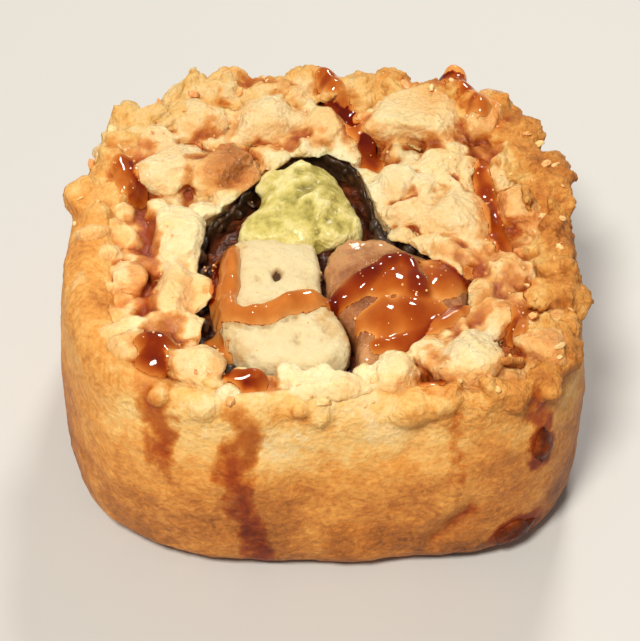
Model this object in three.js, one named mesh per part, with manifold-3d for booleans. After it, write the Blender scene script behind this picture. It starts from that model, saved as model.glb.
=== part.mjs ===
// One thick slice of a deep-fried sushi roll, lying on a cut face, in millimetres, +Z along the roll.
// A seaweed sheet holds avocado, cream cheese and salmon. Around it lies sticky rice in a fried batter
// coat, and a thick sweet sauce has been drizzled over the slice. Every layer runs from face to face.
import * as THREE from "three";
import { mergeVertices } from "three/addons/utils/BufferGeometryUtils.js";
import Module from "manifold-3d";

const wasm = await Module();
wasm.setup();
const { Manifold, Mesh: SolidMesh } = wasm;

// ---------------------------------------------------------------- driving dimensions
const SLICE_HEIGHT = 23.4; // from the lower cut face to the general level of the upper one
const HALF_WIDTH = 26.6; // of the roll, along X, at its widest level
const HALF_DEPTH = 25.8; // of the roll, along Y
const SQUARENESS = 2.7; // exponent of the roll's outline: 2 is an ellipse, more is squarer
const NEAR_LEFT_SQUARENESS = 3.2; // the same for the near left corner
const NEAR_RIGHT_SQUARENESS = 4.2; // and for the near right one
const WIDEST_AT = 0.42; // height of the widest level, as a share of the slice's height
const BARREL = 0.2; // share of its width that the roll would lose a whole slice height away from there
const SIDE_WAVE = 0.6; // unevenness of the fried side
const SHOULDER = 2.8; // how far the batter's upper edge is rounded over
const FOOT_ROUND = 1.4; // the same at the lower edge
const BATTER = 2.2; // thickness of the batter coat round the rice
const RICE_DEPTH = 0.9; // how far the packed rice lies below the tops of its grains
const LIP = 1.3; // how much higher the rice stands on the near side of the fillings
const FOOT_RECESS = 1.0; // how far the rice of the lower face is drawn in above the batter that it rests on
const NORI_THICKNESS = 0.7;
const GAP = 0.35; // clearance between two layers that touch
const STICK_GAP = 0.5; // the same between two fillings
const GRAIN_LENGTH = 6.0; // a cooked short grain
const GRAIN_WIDTH = 3.1;
const GRAIN_SPACING = 3.9; // mean distance between the grains on the upper face
const FOOT_GRAIN_SPACING = 5.4; // the same on the lower face
const CRAGS = 26; // lumps of batter along the upper edge
const SAUCE_WIDTH = 2.7; // of one drizzled line, on average
const SAUCE_HEIGHT = 1.7; // from its underside, which sinks into what it lies on, to its crest

const AROUND = 60; // steps round an outline
const REACH = 40; // more than the roll measures from its middle to any side
const MIDDLE = new THREE.Vector2(1, -4.5); // a point inside the seaweed, from which the rings are measured

// ---------------------------------------------------------------- outlines, seen from above
// Each runs counterclockwise from the right, smoothly through its points.
const NORI_POINTS = [
  [16.0, -9.2], [13.8, -4.6], [9.6, -0.9], [6.6, 1.4], [5.0, 6.0], [3.4, 11.0], [0.0, 12.9],
  [-3.4, 11.9], [-6.2, 9.0], [-8.8, 5.2], [-11.4, 2.2], [-12.6, -3.0], [-12.4, -10.0], [-11.4, -15.6],
  [-7.6, -19.2], [-3.6, -20.9], [0.8, -21.3], [6.8, -19.1], [12.4, -15.4],
];
const AVOCADO_POINTS = [
  [4.2, 1.4], [3.0, 6.2], [1.2, 10.4], [-1.4, 11.7], [-4.4, 9.2], [-6.6, 4.8], [-8.4, 0.8],
  [-7.2, -0.8], [-3.2, -1.1], [1.4, 0.0],
];
const CHEESE_POINTS = [
  [-0.2, -5.6], [0.2, -1.8], [-4.0, -1.6], [-9.2, -2.0], [-9.9, -7.0], [-9.8, -12.8], [-8.4, -16.6],
  [-5.4, -18.6], [-1.4, -19.2], [2.0, -18.0], [2.8, -14.6], [0.8, -10.6],
];
const SALMON_POINTS = [
  [14.8, -9.3], [13.2, -5.6], [9.4, -2.3], [5.2, -0.7], [1.0, -1.8], [0.6, -6.2], [1.4, -10.4],
  [3.5, -14.4], [3.2, -18.2], [6.9, -17.6], [11.0, -15.0], [13.6, -12.4],
];

// ---------------------------------------------------------------- drizzled sauce
// route: a line's way over the upper face, from the far side to the near one. falls: how far it then
// runs down the near side. start: how far down the far side it begins.
const DRIZZLES = [
  { route: [[-19.4, 15.6], [-19.8, 8.4], [-18.3, -1.0], [-18.4, -10.4]], start: 4 },
  { route: [[-15.0, -14.0], [-14.8, -17.6]], falls: 9 },
  { route: [[-12.6, 10.0], [-9.2, 12.4], [-4.0, 15.4]] },
  { route: [[-8.7, -1.9], [-8.6, -12.2], [-5.6, -13], [1.3, -10.1], [7.4, -5.4], [9, -7], [9.4, -11.2]] },
  { route: [[0.6, 22.4], [3.5, 16.5], [5.9, 10.8]], start: 6 },
  { route: [[-6.6, -21.6], [-7.0, -22.4]], falls: 20 },
  { route: [[14.2, 21.6], [17.0, 14.6], [16.8, 5.0], [18.2, -3.4], [19.6, -12.0], [19.0, -17.6]], falls: 9 },
];

// ---------------------------------------------------------------- small helpers
// Seeded random numbers from 0 to 1, the same on every run.
function randomFrom(seed) {
  let state = seed;
  return () => {
    state = (state + 0x6d2b79f5) | 0;
    let mixed = Math.imul(state ^ (state >>> 15), 1 | state);
    mixed = (mixed + Math.imul(mixed ^ (mixed >>> 7), 61 | mixed)) ^ mixed;
    return ((mixed ^ (mixed >>> 14)) >>> 0) / 2 ** 32;
  };
}

// Slow waves round the slice that keep a surface uneven, from about -1 to 1.
function wave(angle, z, seed) {
  return (
    0.45 * Math.sin(3 * angle + 0.09 * z + seed) +
    0.3 * Math.sin(5 * angle - 0.21 * z + 2.1 * seed) +
    0.25 * Math.sin(11 * angle + 0.35 * z + 3.7 * seed)
  );
}

// How far an outline lies from a centre, as a function of the angle there.
function distanceByAngle(points, centre) {
  const polar = points
    .map(([x, y]) => [Math.atan2(y - centre.y, x - centre.x), Math.hypot(x - centre.x, y - centre.y)])
    .sort((a, b) => a[0] - b[0]);
  const turn = 2 * Math.PI;
  const [first, last] = [polar[0], polar[polar.length - 1]];
  const ring = [[last[0] - turn, last[1]], ...polar, [first[0] + turn, first[1]]];
  return (angle) => {
    const wrapped = Math.atan2(Math.sin(angle), Math.cos(angle));
    const after = ring.findIndex(([a]) => a > wrapped);
    const [[a0, r0], [a1, r1]] = [ring[after - 1], ring[after]];
    return THREE.MathUtils.mapLinear(wrapped, a0, a1, r0, r1);
  };
}

function smoothOutline(points, centre) {
  const corners = points.map(([x, y]) => new THREE.Vector3(x, y, 0));
  const curve = new THREE.CatmullRomCurve3(corners, true, "centripetal");
  return distanceByAngle(curve.getPoints(360).map(({ x, y }) => [x, y]), centre);
}

function middleOf(points) {
  const total = points.reduce((sum, [x, y]) => sum.add(new THREE.Vector2(x, y)), new THREE.Vector2());
  return total.divideScalar(points.length);
}

// The roll's outline at its widest level: a superellipse about the roll's own axis, squarer on its near side.
function rollPoints() {
  const squareness = (x, y) => {
    if (y >= 0) return SQUARENESS;
    return x < 0 ? NEAR_LEFT_SQUARENESS : NEAR_RIGHT_SQUARENESS;
  };
  return Array.from({ length: 360 }, (_, degree) => {
    const angle = THREE.MathUtils.degToRad(degree);
    const [x, y] = [Math.cos(angle), Math.sin(angle)];
    const rounded = (share) => Math.sign(share) * Math.abs(share) ** (2 / squareness(x, y));
    return [HALF_WIDTH * rounded(x), HALF_DEPTH * rounded(y)];
  });
}

const noriDistance = smoothOutline(NORI_POINTS, MIDDLE);
const rollDistance = distanceByAngle(rollPoints(), MIDDLE);

// How far the batter's surface lies from MIDDLE at a height.
function batterDistance(angle, z) {
  const fromWidest = z / SLICE_HEIGHT - WIDEST_AT;
  return rollDistance(angle) * (1 - BARREL * fromWidest ** 2) + SIDE_WAVE * wave(angle, z, 1.3);
}

// The place at an angle and a distance from MIDDLE.
function placeAt(angle, distance, z) {
  return new THREE.Vector3(MIDDLE.x + distance * Math.cos(angle), MIDDLE.y + distance * Math.sin(angle), z);
}

function angleOf(x, y) {
  return Math.atan2(y - MIDDLE.y, x - MIDDLE.x);
}

// Level of the packed rice on the upper face.
function riceLevel(angle, distance) {
  const near = Math.max(0, -Math.sin(angle));
  return SLICE_HEIGHT - RICE_DEPTH + LIP * near ** 2 + 0.35 * wave(angle + distance / 6, distance, 4.2);
}

// ---------------------------------------------------------------- solids
// The solid inside a closed surface, without the slivers that a surface has where it meets its axis.
// The surface is a list of the triangles' corners, three numbers each.
function solidOf(positions) {
  const surface = new THREE.BufferGeometry();
  surface.setAttribute("position", new THREE.Float32BufferAttribute(positions, 3));
  const merged = mergeVertices(surface, 1e-4);
  const corners = merged.index.array;
  const triVerts = [];
  for (let i = 0; i < corners.length; i += 3) {
    const triangle = corners.slice(i, i + 3);
    if (new Set(triangle).size === 3) triVerts.push(...triangle);
  }
  const vertProperties = merged.getAttribute("position").array;
  return new Manifold(new SolidMesh({ numProp: 3, vertProperties, triVerts: new Uint32Array(triVerts) }));
}

function geometryOf(solid) {
  const { vertProperties, triVerts } = solid.getMesh();
  return new THREE.BufferGeometry()
    .setAttribute("position", new THREE.BufferAttribute(new Float32Array(vertProperties), 3))
    .setIndex(new THREE.BufferAttribute(triVerts, 1));
}

// The largest body of a solid, without the loose scraps of a cut.
function largest(solid) {
  return solid.decompose().sort((a, b) => b.volume() - a.volume())[0];
}

// Turns a profile round a centre. An entry of the profile gives [distance from the centre, height] at an
// angle. A closed profile makes a ring, and an open one starts and ends on the axis.
function turned(profile, centre, { closed = false, steps = AROUND } = {}) {
  const at = (row, step) => {
    const angle = (2 * Math.PI * (step % steps)) / steps;
    const [distance, z] = profile[row % profile.length](angle);
    return [centre.x + distance * Math.cos(angle), centre.y + distance * Math.sin(angle), z];
  };
  const positions = [];
  const rows = closed ? profile.length : profile.length - 1;
  for (let row = 0; row < rows; row++) {
    for (let step = 0; step < steps; step++) {
      const [a, b] = [at(row, step), at(row, step + 1)];
      const [c, d] = [at(row + 1, step + 1), at(row + 1, step)];
      positions.push(...a, ...b, ...d, ...b, ...c, ...d);
    }
  }
  return solidOf(positions);
}

// A straight column of an outline's form with a margin added, to cut with.
function column(outline, margin, low = -1, high = SLICE_HEIGHT + 10) {
  const wall = (z) => (angle) => [outline.distance(angle) + margin, z];
  const end = (z) => () => [0, z];
  return turned([end(low), wall(low), wall(high), end(high)], outline.centre);
}

const sheet = { distance: noriDistance, centre: MIDDLE };
const everything = { distance: () => REACH, centre: MIDDLE };
const insideSheet = -NORI_THICKNESS - GAP;

// ---------------------------------------------------------------- sauce lines
const SAUCE_LIFT = 0.6; // of a line's middle over the general level of the upper face
const DROP_STEP = 3; // between the points of a line that runs down the side
const LOWEST_DROP = 2;

// A line's way down the side below a point of the upper face.
function wayDown([x, y], depth) {
  const angle = angleOf(x, y);
  const points = [];
  for (let fallen = SHOULDER; fallen < depth; fallen += DROP_STEP) {
    const z = Math.max(SLICE_HEIGHT - fallen, LOWEST_DROP);
    points.push(placeAt(angle, batterDistance(angle, z) - 0.1, z));
  }
  return points;
}

// Which way is off the slice at a point: up over the face, outwards down the side.
function offSlice(point) {
  const outwards = new THREE.Vector3(point.x - MIDDLE.x, point.y - MIDDLE.y, 0).normalize();
  const up = THREE.MathUtils.smoothstep(point.z, SLICE_HEIGHT - SHOULDER, SLICE_HEIGHT);
  return outwards.lerp(new THREE.Vector3(0, 0, 1), up).normalize();
}

// A line is a low bead, six-sided across, that swells and narrows on its way and has blunt ends.
function drizzleSolid({ route, falls = 0, start = 0 }, number) {
  const over = route.map(([x, y]) => {
    const level = riceLevel(angleOf(x, y), Math.hypot(x - MIDDLE.x, y - MIDDLE.y));
    return new THREE.Vector3(x, y, level + RICE_DEPTH + SAUCE_LIFT);
  });
  const way = [...wayDown(route[0], start).reverse(), ...over, ...wayDown(route[route.length - 1], falls)];
  const curve = new THREE.CatmullRomCurve3(way, false, "centripetal");
  const steps = Math.max(5, Math.round(curve.getLength() / 2.8));
  const sides = 6;
  const at = (step, side) => {
    const share = step / steps;
    const point = curve.getPointAt(share);
    const off = offSlice(point);
    const across = curve.getTangentAt(share).cross(off).normalize();
    const swell = 1 + 0.3 * Math.sin(2.3 * step + 1.7 * number);
    const blunt = Math.sin(Math.PI * THREE.MathUtils.clamp((step + 0.4) / (steps + 0.8), 0, 1)) ** 0.3;
    const angle = (2 * Math.PI * (side % sides)) / sides;
    point.addScaledVector(across, 0.5 * SAUCE_WIDTH * swell * blunt * Math.cos(angle));
    return point.addScaledVector(off, 0.5 * SAUCE_HEIGHT * blunt * Math.sin(angle)).toArray();
  };
  const positions = [];
  for (let side = 0; side < sides; side++) {
    for (let step = 0; step < steps; step++) {
      const [a, b] = [at(step, side), at(step, side + 1)];
      const [c, d] = [at(step + 1, side + 1), at(step + 1, side)];
      positions.push(...a, ...d, ...b, ...b, ...d, ...c);
    }
    positions.push(...at(0, 0), ...at(0, side), ...at(0, side + 1));
    positions.push(...at(steps, 0), ...at(steps, side + 1), ...at(steps, side));
  }
  return solidOf(positions);
}

const sauce = DRIZZLES.map(drizzleSolid);

// A piece with the stretches of sauce that lie over it.
function withSauce(piece, over) {
  return Manifold.union([piece, ...sauce.map((line) => line.intersect(over))]);
}

// ---------------------------------------------------------------- rice in its batter
// The packed rice and its coat, as a ring: out along the underside, up the side and in over the top.
function riceCore() {
  const inner = (angle) => noriDistance(angle) + GAP;
  const side = (z, inset = 0) => (angle) => [batterDistance(angle, z) - inset, z];
  const rim = (inset, rise) => (angle) => [
    batterDistance(angle, SLICE_HEIGHT) - inset,
    SLICE_HEIGHT + rise + 0.45 * wave(angle, 0, 7.7) + 0.35 * Math.sin(angle),
  ];
  const face = (share) => (angle) => {
    const coat = batterDistance(angle, SLICE_HEIGHT) - BATTER;
    const distance = THREE.MathUtils.lerp(inner(angle), coat, share);
    return [distance, riceLevel(angle, distance)];
  };
  return turned(
    [
      (angle) => [inner(angle), FOOT_RECESS],
      (angle) => [batterDistance(angle, 0) - FOOT_ROUND - 1.6 * BATTER, FOOT_RECESS],
      side(0, FOOT_ROUND + BATTER),
      side(0, FOOT_ROUND),
      side(FOOT_ROUND),
      side(0.25 * SLICE_HEIGHT),
      side(0.5 * SLICE_HEIGHT),
      side(0.72 * SLICE_HEIGHT),
      side(SLICE_HEIGHT - SHOULDER),
      rim(0.3 * SHOULDER, -0.35 * SHOULDER),
      rim(0.9 * SHOULDER, 0.2),
      face(0.85),
      face(0.4),
      face(0),
      (angle) => [inner(angle), 0.5 * SLICE_HEIGHT],
    ],
    MIDDLE,
    { closed: true },
  );
}

// A closed ball with few sides, drawn out along Y before it is turned: a grain or a lump of batter.
function lump([width, length, height], place, turn) {
  const ball = new THREE.SphereGeometry(0.5, 5, 4);
  ball.scale(width, length, height);
  ball.applyQuaternion(new THREE.Quaternion().setFromEuler(turn));
  ball.translate(place.x, place.y, place.z);
  return solidOf(ball.toNonIndexed().getAttribute("position").array);
}

// Grains spread evenly over a cut face, by the sunflower rule, between the seaweed and the batter.
function grainsOnFace(levelAt, spacing, seed) {
  const random = randomFrom(seed);
  const jitter = () => random() - 0.5;
  const goldenAngle = Math.PI * (3 - Math.sqrt(5));
  const count = Math.round((Math.PI * REACH ** 2) / spacing ** 2);
  const grains = [];
  for (let i = 0; i < count; i++) {
    const radius = REACH * Math.sqrt((i + 0.5) / count);
    const x = radius * Math.cos(i * goldenAngle) + jitter();
    const y = radius * Math.sin(i * goldenAngle) + jitter();
    const turn = new THREE.Euler(0.8 * jitter(), 0.8 * jitter(), Math.PI * random(), "ZYX");
    const plump = 0.85 + 0.3 * random();
    const lift = 0.9 * jitter();
    const angle = angleOf(x, y);
    const distance = Math.hypot(x - MIDDLE.x, y - MIDDLE.y);
    const besideNori = distance < noriDistance(angle) + 0.3 * GRAIN_WIDTH;
    const underBatter = distance > batterDistance(angle, SLICE_HEIGHT) - BATTER - 0.4 * GRAIN_WIDTH;
    if (besideNori || underBatter) continue;
    const size = [GRAIN_WIDTH, GRAIN_LENGTH, 0.9 * GRAIN_WIDTH].map((side) => side * plump);
    grains.push(lump(size, new THREE.Vector3(x, y, levelAt(angle, distance) + lift), turn));
  }
  return grains;
}

// Craggy lumps of batter along the upper edge, larger on the far side.
function crags() {
  const random = randomFrom(77);
  return Array.from({ length: CRAGS }, (_, i) => {
    const angle = (2 * Math.PI * (i + 0.8 * random())) / CRAGS;
    const far = 0.5 + 0.5 * Math.sin(angle);
    const size = 3 + 2.6 * random() + 1.4 * far;
    const inset = 0.3 * size + 1.6 * random();
    const z = SLICE_HEIGHT - 0.35 * size + 0.7 * random() + 0.8 * far;
    const turn = new THREE.Euler(random() - 0.5, random() - 0.5, angle + 2 * random() - 1, "ZYX");
    const place = placeAt(angle, batterDistance(angle, z) - inset, z);
    return lump([0.95 * size, 1.3 * size, 0.85 * size], place, turn);
  });
}

function riceWithBatter() {
  const footLevel = () => FOOT_RECESS + 0.05 * GRAIN_WIDTH;
  const heap = Manifold.union([
    riceCore(),
    ...grainsOnFace(riceLevel, GRAIN_SPACING, 11),
    ...grainsOnFace(footLevel, FOOT_GRAIN_SPACING, 23),
    ...crags(),
  ]);
  const round = column(everything, 0, 0).subtract(column(sheet, GAP));
  return largest(withSauce(heap, column(everything, 0)).intersect(round));
}

// ---------------------------------------------------------------- seaweed
// A sheet round the fillings, with uneven cut edges.
function nori() {
  const foot = 0.2;
  const half = 0.5 * SLICE_HEIGHT;
  const wall = (depth, z) => (angle) => [noriDistance(angle) - depth, z];
  const edge = (depth) => (angle) => [
    noriDistance(angle) - depth,
    SLICE_HEIGHT - 0.2 + 0.6 * wave(2 * angle, 0, 2.9) + 0.5 * LIP * Math.max(0, -Math.sin(angle)),
  ];
  const outside = [wall(0, foot), wall(0, half), edge(0)];
  const inside = [edge(NORI_THICKNESS), wall(NORI_THICKNESS, half), wall(NORI_THICKNESS, foot)];
  return turned([...outside, ...inside], MIDDLE, { closed: true });
}

// ---------------------------------------------------------------- fillings
// A stick of filling, its cut end domed and rough. top is the end's height at its edge.
function stick(points, { top, dome, rough, seed }) {
  const centre = middleOf(points);
  const distance = smoothOutline(points, centre);
  const side = (z, inset = 0) => (angle) => [distance(angle) - inset + 0.12 * wave(angle, 3 * z, seed), z];
  const face = (share, rise) => (angle) => [
    distance(angle) * share,
    top + rise + rough * wave(angle, 11 * share, seed),
  ];
  const body = turned(
    [
      () => [0, 0],
      side(0, 0.5),
      side(0.6),
      side(0.5 * top),
      side(top - 0.9),
      face(0.93, -0.15),
      face(0.7, 0.65 * dome),
      face(0.36, dome),
      () => [0, top + dome],
    ],
    centre,
    { steps: 36 },
  );
  return { distance, centre, solid: body.intersect(column(sheet, insideSheet)) };
}

const avocado = stick(AVOCADO_POINTS, { top: SLICE_HEIGHT - 0.4, dome: 1.3, rough: 0.5, seed: 5.1 });
const cheese = stick(CHEESE_POINTS, { top: SLICE_HEIGHT + 0.2, dome: 0.6, rough: 0.18, seed: 8.4 });
const salmon = stick(SALMON_POINTS, { top: SLICE_HEIGHT - 0.3, dome: 1.3, rough: 0.4, seed: 3.3 });

// A filling with its sauce, kept clear of the fillings that lie against it.
function fitted(filling, ...others) {
  const room = column(filling, 0).intersect(column(sheet, insideSheet));
  const clear = (solid, other) => solid.subtract(column(other, STICK_GAP));
  return largest(others.reduce(clear, withSauce(filling.solid, room)));
}

// ---------------------------------------------------------------- the slice
const slice = new THREE.Group();

function addPiece(name, solid, color, roughness) {
  const material = new THREE.MeshStandardMaterial({ color, roughness, metalness: 0 });
  const mesh = new THREE.Mesh(geometryOf(solid), material);
  mesh.name = name;
  slice.add(mesh);
}

addPiece("rice_with_batter", riceWithBatter(), 0xe0a85e, 0.6);
addPiece("nori", nori(), 0x1d2419, 0.45);
addPiece("avocado", fitted(avocado, cheese, salmon), 0xc5c268, 0.5);
addPiece("cream_cheese", fitted(cheese), 0xf7ecc9, 0.55);
addPiece("salmon", fitted(salmon, cheese), 0xc47a4c, 0.35);

export default slice;
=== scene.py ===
from itertools import product

import bpy
import numpy as np
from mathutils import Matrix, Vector
from mathutils.bvhtree import BVHTree


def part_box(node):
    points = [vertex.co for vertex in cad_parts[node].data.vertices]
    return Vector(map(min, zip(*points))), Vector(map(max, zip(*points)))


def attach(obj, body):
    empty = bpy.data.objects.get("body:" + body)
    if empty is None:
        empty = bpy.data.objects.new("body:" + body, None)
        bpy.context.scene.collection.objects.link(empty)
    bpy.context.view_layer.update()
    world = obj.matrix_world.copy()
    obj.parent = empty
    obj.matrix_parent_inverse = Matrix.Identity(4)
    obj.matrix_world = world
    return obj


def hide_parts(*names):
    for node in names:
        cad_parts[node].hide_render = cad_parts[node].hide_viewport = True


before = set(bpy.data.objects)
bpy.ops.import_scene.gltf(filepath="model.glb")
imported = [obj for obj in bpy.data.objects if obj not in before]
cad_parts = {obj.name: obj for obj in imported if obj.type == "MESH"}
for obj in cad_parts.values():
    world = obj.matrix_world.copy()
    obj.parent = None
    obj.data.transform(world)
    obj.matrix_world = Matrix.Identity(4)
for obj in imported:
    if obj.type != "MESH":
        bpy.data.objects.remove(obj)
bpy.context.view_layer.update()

MM = 0.001
TURN = 2 * np.pi

# ---------------------------------------------------------------- sizes, in millimetres
CRAG_RISE = 2.1  # of the highest crag over the general level of the upper face
NORI_CLEAR = 0.35  # between the seaweed and what lies against it
LIP = 1.2  # how much higher the rice stands on the near side
SLAB = 5.0  # depth to which the rice is modelled behind each cut face
COAT = 2.4  # thickness of the batter coat beside the rice
FOOT_REACH = 4.6  # how far the coat reaches in under the rice
FOOT_LEVEL = 1.3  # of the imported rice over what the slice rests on
GRAIN_LENGTH = 6.0
GRAIN_WIDTH = 3.0
NORI_THICKNESS = 0.45
BATTER_FINENESS = 0.34  # side of a face of the finished skins
RICE_FINENESS = 0.27
FOOT_FINENESS = 0.34
FILLING_FINENESS = 0.3
SAUCE_FINENESS = 0.2


def box_of(node):
    low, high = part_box(node)
    return np.array(low) / MM, np.array(high) / MM


FACE = box_of("rice_with_batter")[1][2] - CRAG_RISE
MIDDLE = sum(box_of("nori"))[:2] / 2


# ---------------------------------------------------------------- unevenness
# Each kind takes points in millimetres, the size of its swells, and a seed of its own that keeps it apart.
def hashed(cell, seed):
    """Numbers spread evenly from 0 to 1, one for each whole-numbered cell, the same on every run."""
    x, y, z = np.moveaxis(cell.astype(np.int64).astype(np.uint32), -1, 0)
    mixed = x * np.uint32(374761393) + y * np.uint32(668265263) + z * np.uint32(2246822519)
    mixed += np.uint32((seed * 3266489917 + 97) % 2**32)
    for shift in (15, 13, 16):
        mixed ^= mixed >> np.uint32(shift)
        mixed *= np.uint32(2246822519)
    return (mixed >> np.uint32(8)) / 2**24


def noise(points, size, seed=0):
    """Smooth unevenness from about -1 to 1 with swells of that size."""
    place = points / size + 17.3 * seed
    cell = np.floor(place)
    part = place - cell
    ease = part**3 * (part * (part * 6 - 15) + 10)
    total = np.zeros(len(points))
    for corner in product((0, 1), repeat=3):
        slope = np.stack([hashed(cell + corner, 3 * seed + axis) for axis in range(3)], -1) * 2 - 1
        weight = np.prod(np.where(corner, ease, 1 - ease), -1)
        total += weight * ((part - corner) * slope).sum(-1)
    return 1.7 * total


def rough(points, size, seed=0, octaves=3, keep=0.5):
    """Noise with finer noise on it."""
    return sum(keep**k * noise(points, size / 2**k, seed + 5 * k) for k in range(octaves))


def ridged(points, size, seed=0, octaves=3, keep=0.5):
    """Noise with sharp crests and round hollows, from about -1 to 1."""
    layers = (np.abs(noise(points, size / 2**k, seed + 5 * k)) for k in range(octaves))
    return sum(keep**k * (0.6 - 2 * layer) for k, layer in enumerate(layers))


def nearest_seed(points, size, seed=0):
    """How far the nearest point of a scattered pattern lies, as a share of the pattern's size."""
    place = points / size + 7.7 * seed
    cell = np.floor(place)
    best = np.full(len(points), 9.0)
    for step in product((-1, 0, 1), repeat=3):
        other = cell + step
        at = other + np.stack([hashed(other, 3 * seed + axis) for axis in range(3)], -1)
        best = np.minimum(best, np.linalg.norm(at - place, axis=1))
    return best


def smoothstep(low, high, value):
    share = np.clip((value - low) / (high - low), 0, 1)
    return share * share * (3 - 2 * share)


# ---------------------------------------------------------------- sections of the frame
STEPS_PER_DEGREE = 2
ANGLES = np.linspace(0, TURN, 360 * STEPS_PER_DEGREE, endpoint=False)


def section(node, height):
    """The lines in which a node's faces cross a level plane, as start and end points."""
    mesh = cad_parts[node].data
    mesh.calc_loop_triangles()
    points = np.array([v.co for v in mesh.vertices]) / MM
    starts, ends = [], []
    for triangle in mesh.loop_triangles:
        corners = points[list(triangle.vertices)]
        crossings = []
        for a, b in zip(corners, np.roll(corners, 1, axis=0)):
            if (a[2] > height) != (b[2] > height):
                crossings.append((a + (b - a) * (height - a[2]) / (b[2] - a[2]))[:2])
        if len(crossings) == 2:
            starts.append(crossings[0])
            ends.append(crossings[1])
    return np.array(starts), np.array(ends)


def distances(node, height, centre):
    """How far a node's outer edge lies from a centre at that height, for each of ANGLES."""
    starts, ends = (side - centre for side in section(node, height))
    along = np.stack([np.cos(ANGLES), np.sin(ANGLES)], 1)[:, None, :]
    left = along[..., 0] * starts[:, 1] - along[..., 1] * starts[:, 0]
    right = along[..., 0] * ends[:, 1] - along[..., 1] * ends[:, 0]
    share = left / np.where(left == right, 1, left - right)
    reach = ((starts + (ends - starts) * share[..., None]) * along).sum(-1)
    hit = (left * right <= 0) & (left != right) & (reach > 0)
    return np.where(hit, reach, 0).max(1)


def evened(values, degrees):
    """Values round the circle, with what is narrower than that smoothed away."""
    steps = np.arange(-60, 61)
    weights = np.exp(-0.5 * (steps / (STEPS_PER_DEGREE * degrees)) ** 2)
    return sum(w * np.roll(values, s) for w, s in zip(weights, steps)) / weights.sum()


def around(table, angle):
    """A table of values for ANGLES, read at any angle."""
    return np.interp(np.mod(angle, TURN), np.append(ANGLES, TURN), np.append(table, table[0]))


WALL_LEVELS = np.array([0.9, 2.5, 5, 8, 11, 14, 17, 19.5])
wall_table = [evened(distances("rice_with_batter", level, MIDDLE), 5) for level in WALL_LEVELS]
nori_table = evened(distances("nori", FACE / 2, MIDDLE), 1)


def wall(angle, z):
    """How far the batter's side lies from MIDDLE."""
    place = np.clip(np.interp(z, WALL_LEVELS, range(len(WALL_LEVELS))), 0, len(WALL_LEVELS) - 1.001)
    below = place.astype(int)
    rows = np.stack([np.atleast_1d(around(row, angle)) for row in wall_table])
    pick = np.arange(rows.shape[1])
    lower, upper = rows[below, pick], rows[below + 1, pick]
    return lower + (upper - lower) * (place - below)


def polar(points):
    """Angle about MIDDLE and distance from it."""
    x, y = points[:, 0] - MIDDLE[0], points[:, 1] - MIDDLE[1]
    return np.arctan2(y, x), np.hypot(x, y)


def place_at(angle, distance, centre=MIDDLE):
    """x and y of what lies that way and that far from a centre."""
    return centre[0] + distance * np.cos(angle), centre[1] + distance * np.sin(angle)


def on_ring(angle, radius):
    """Points on a level circle about the origin, to read unevenness at."""
    return np.stack([radius * np.cos(angle), radius * np.sin(angle), 0 * angle], 1)


def nearness(angle):
    """1 on the near side of the slice, 0 beside and behind the fillings."""
    return np.maximum(0, -np.sin(angle)) ** 2


def window(angle, middle, half):
    """1 near an angle, falling to 0 at so many degrees beside it."""
    away = np.abs(np.angle(np.exp(1j * (angle - np.radians(middle)))))
    return smoothstep(np.radians(half), 0.3 * np.radians(half), away)


def smooth_side(angle):
    """1 on the left, where the coat is broad and smooth."""
    return window(angle, 186, 52)


def near_side(angle):
    """1 on the near side, where the rice reaches out to the edge."""
    return window(angle, 263, 62)


# ---------------------------------------------------------------- skins
# A skin is a pair: points in millimetres, and faces as rows of corner numbers.
def joined(skins):
    counts = np.cumsum([0] + [len(points) for points, _ in skins])
    faces = [faces + start for (_, faces), start in zip(skins, counts)]
    return np.concatenate([points for points, _ in skins]), np.concatenate(faces)


def turned(profile, centre, steps=240, closed=True):
    """A skin turned round a centre. Each entry of the profile gives (distances, heights) at some angles."""
    angle = np.linspace(0, TURN, steps, endpoint=False)
    rows = []
    for entry in profile:
        distance, z = (np.broadcast_to(part, angle.shape) for part in entry(angle))
        rows.append(np.stack([*place_at(angle, distance, centre), z], 1))
    last = len(rows) if closed else len(rows) - 1
    row, step = np.meshgrid(np.arange(last), np.arange(steps), indexing="ij")
    after = (step + 1) % steps
    above = (row + 1) % len(rows)
    corners = [row * steps + step, row * steps + after, above * steps + after, above * steps + step]
    a, b, c, d = (corner.ravel() for corner in corners)
    return np.concatenate(rows), np.concatenate([np.stack([a, b, c], 1), np.stack([a, c, d], 1)])


def icosphere(subdivisions):
    bpy.ops.mesh.primitive_ico_sphere_add(subdivisions=subdivisions, radius=1)
    made = bpy.context.object
    points = np.array([v.co for v in made.data.vertices])
    faces = np.array([list(p.vertices) for p in made.data.polygons])
    bpy.data.objects.remove(made)
    return points, faces


BALLS = {detail: icosphere(detail) for detail in (2, 3, 4)}


def rotation(tilt, roll, turn):
    """A matrix that tilts about X, rolls about Y and then turns about Z."""
    (ca, cb, cc), (sa, sb, sc) = np.cos([tilt, roll, turn]), np.sin([tilt, roll, turn])
    about_x = np.array([[1, 0, 0], [0, ca, -sa], [0, sa, ca]])
    about_y = np.array([[cb, 0, sb], [0, 1, 0], [-sb, 0, cb]])
    about_z = np.array([[cc, -sc, 0], [sc, cc, 0], [0, 0, 1]])
    return about_z @ about_y @ about_x


def leaning(random, tilt, roll, turn=TURN):
    """Drawn angles for rotation: tilt and roll either way up to those, and turn from 0 up to that."""
    return random.uniform([-tilt, -roll, 0], [tilt, roll, turn])


def grain(place, size, turn):
    """A cooked short grain: blunt ends, slightly bent."""
    ball, faces = BALLS[3]
    points = np.sign(ball) * np.abs(ball) ** 0.85 * np.array(size) / 2
    points[:, 2] -= 0.12 * size[0] * (2 * points[:, 1] / size[1]) ** 2
    return points @ rotation(*turn).T + place, faces


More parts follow.
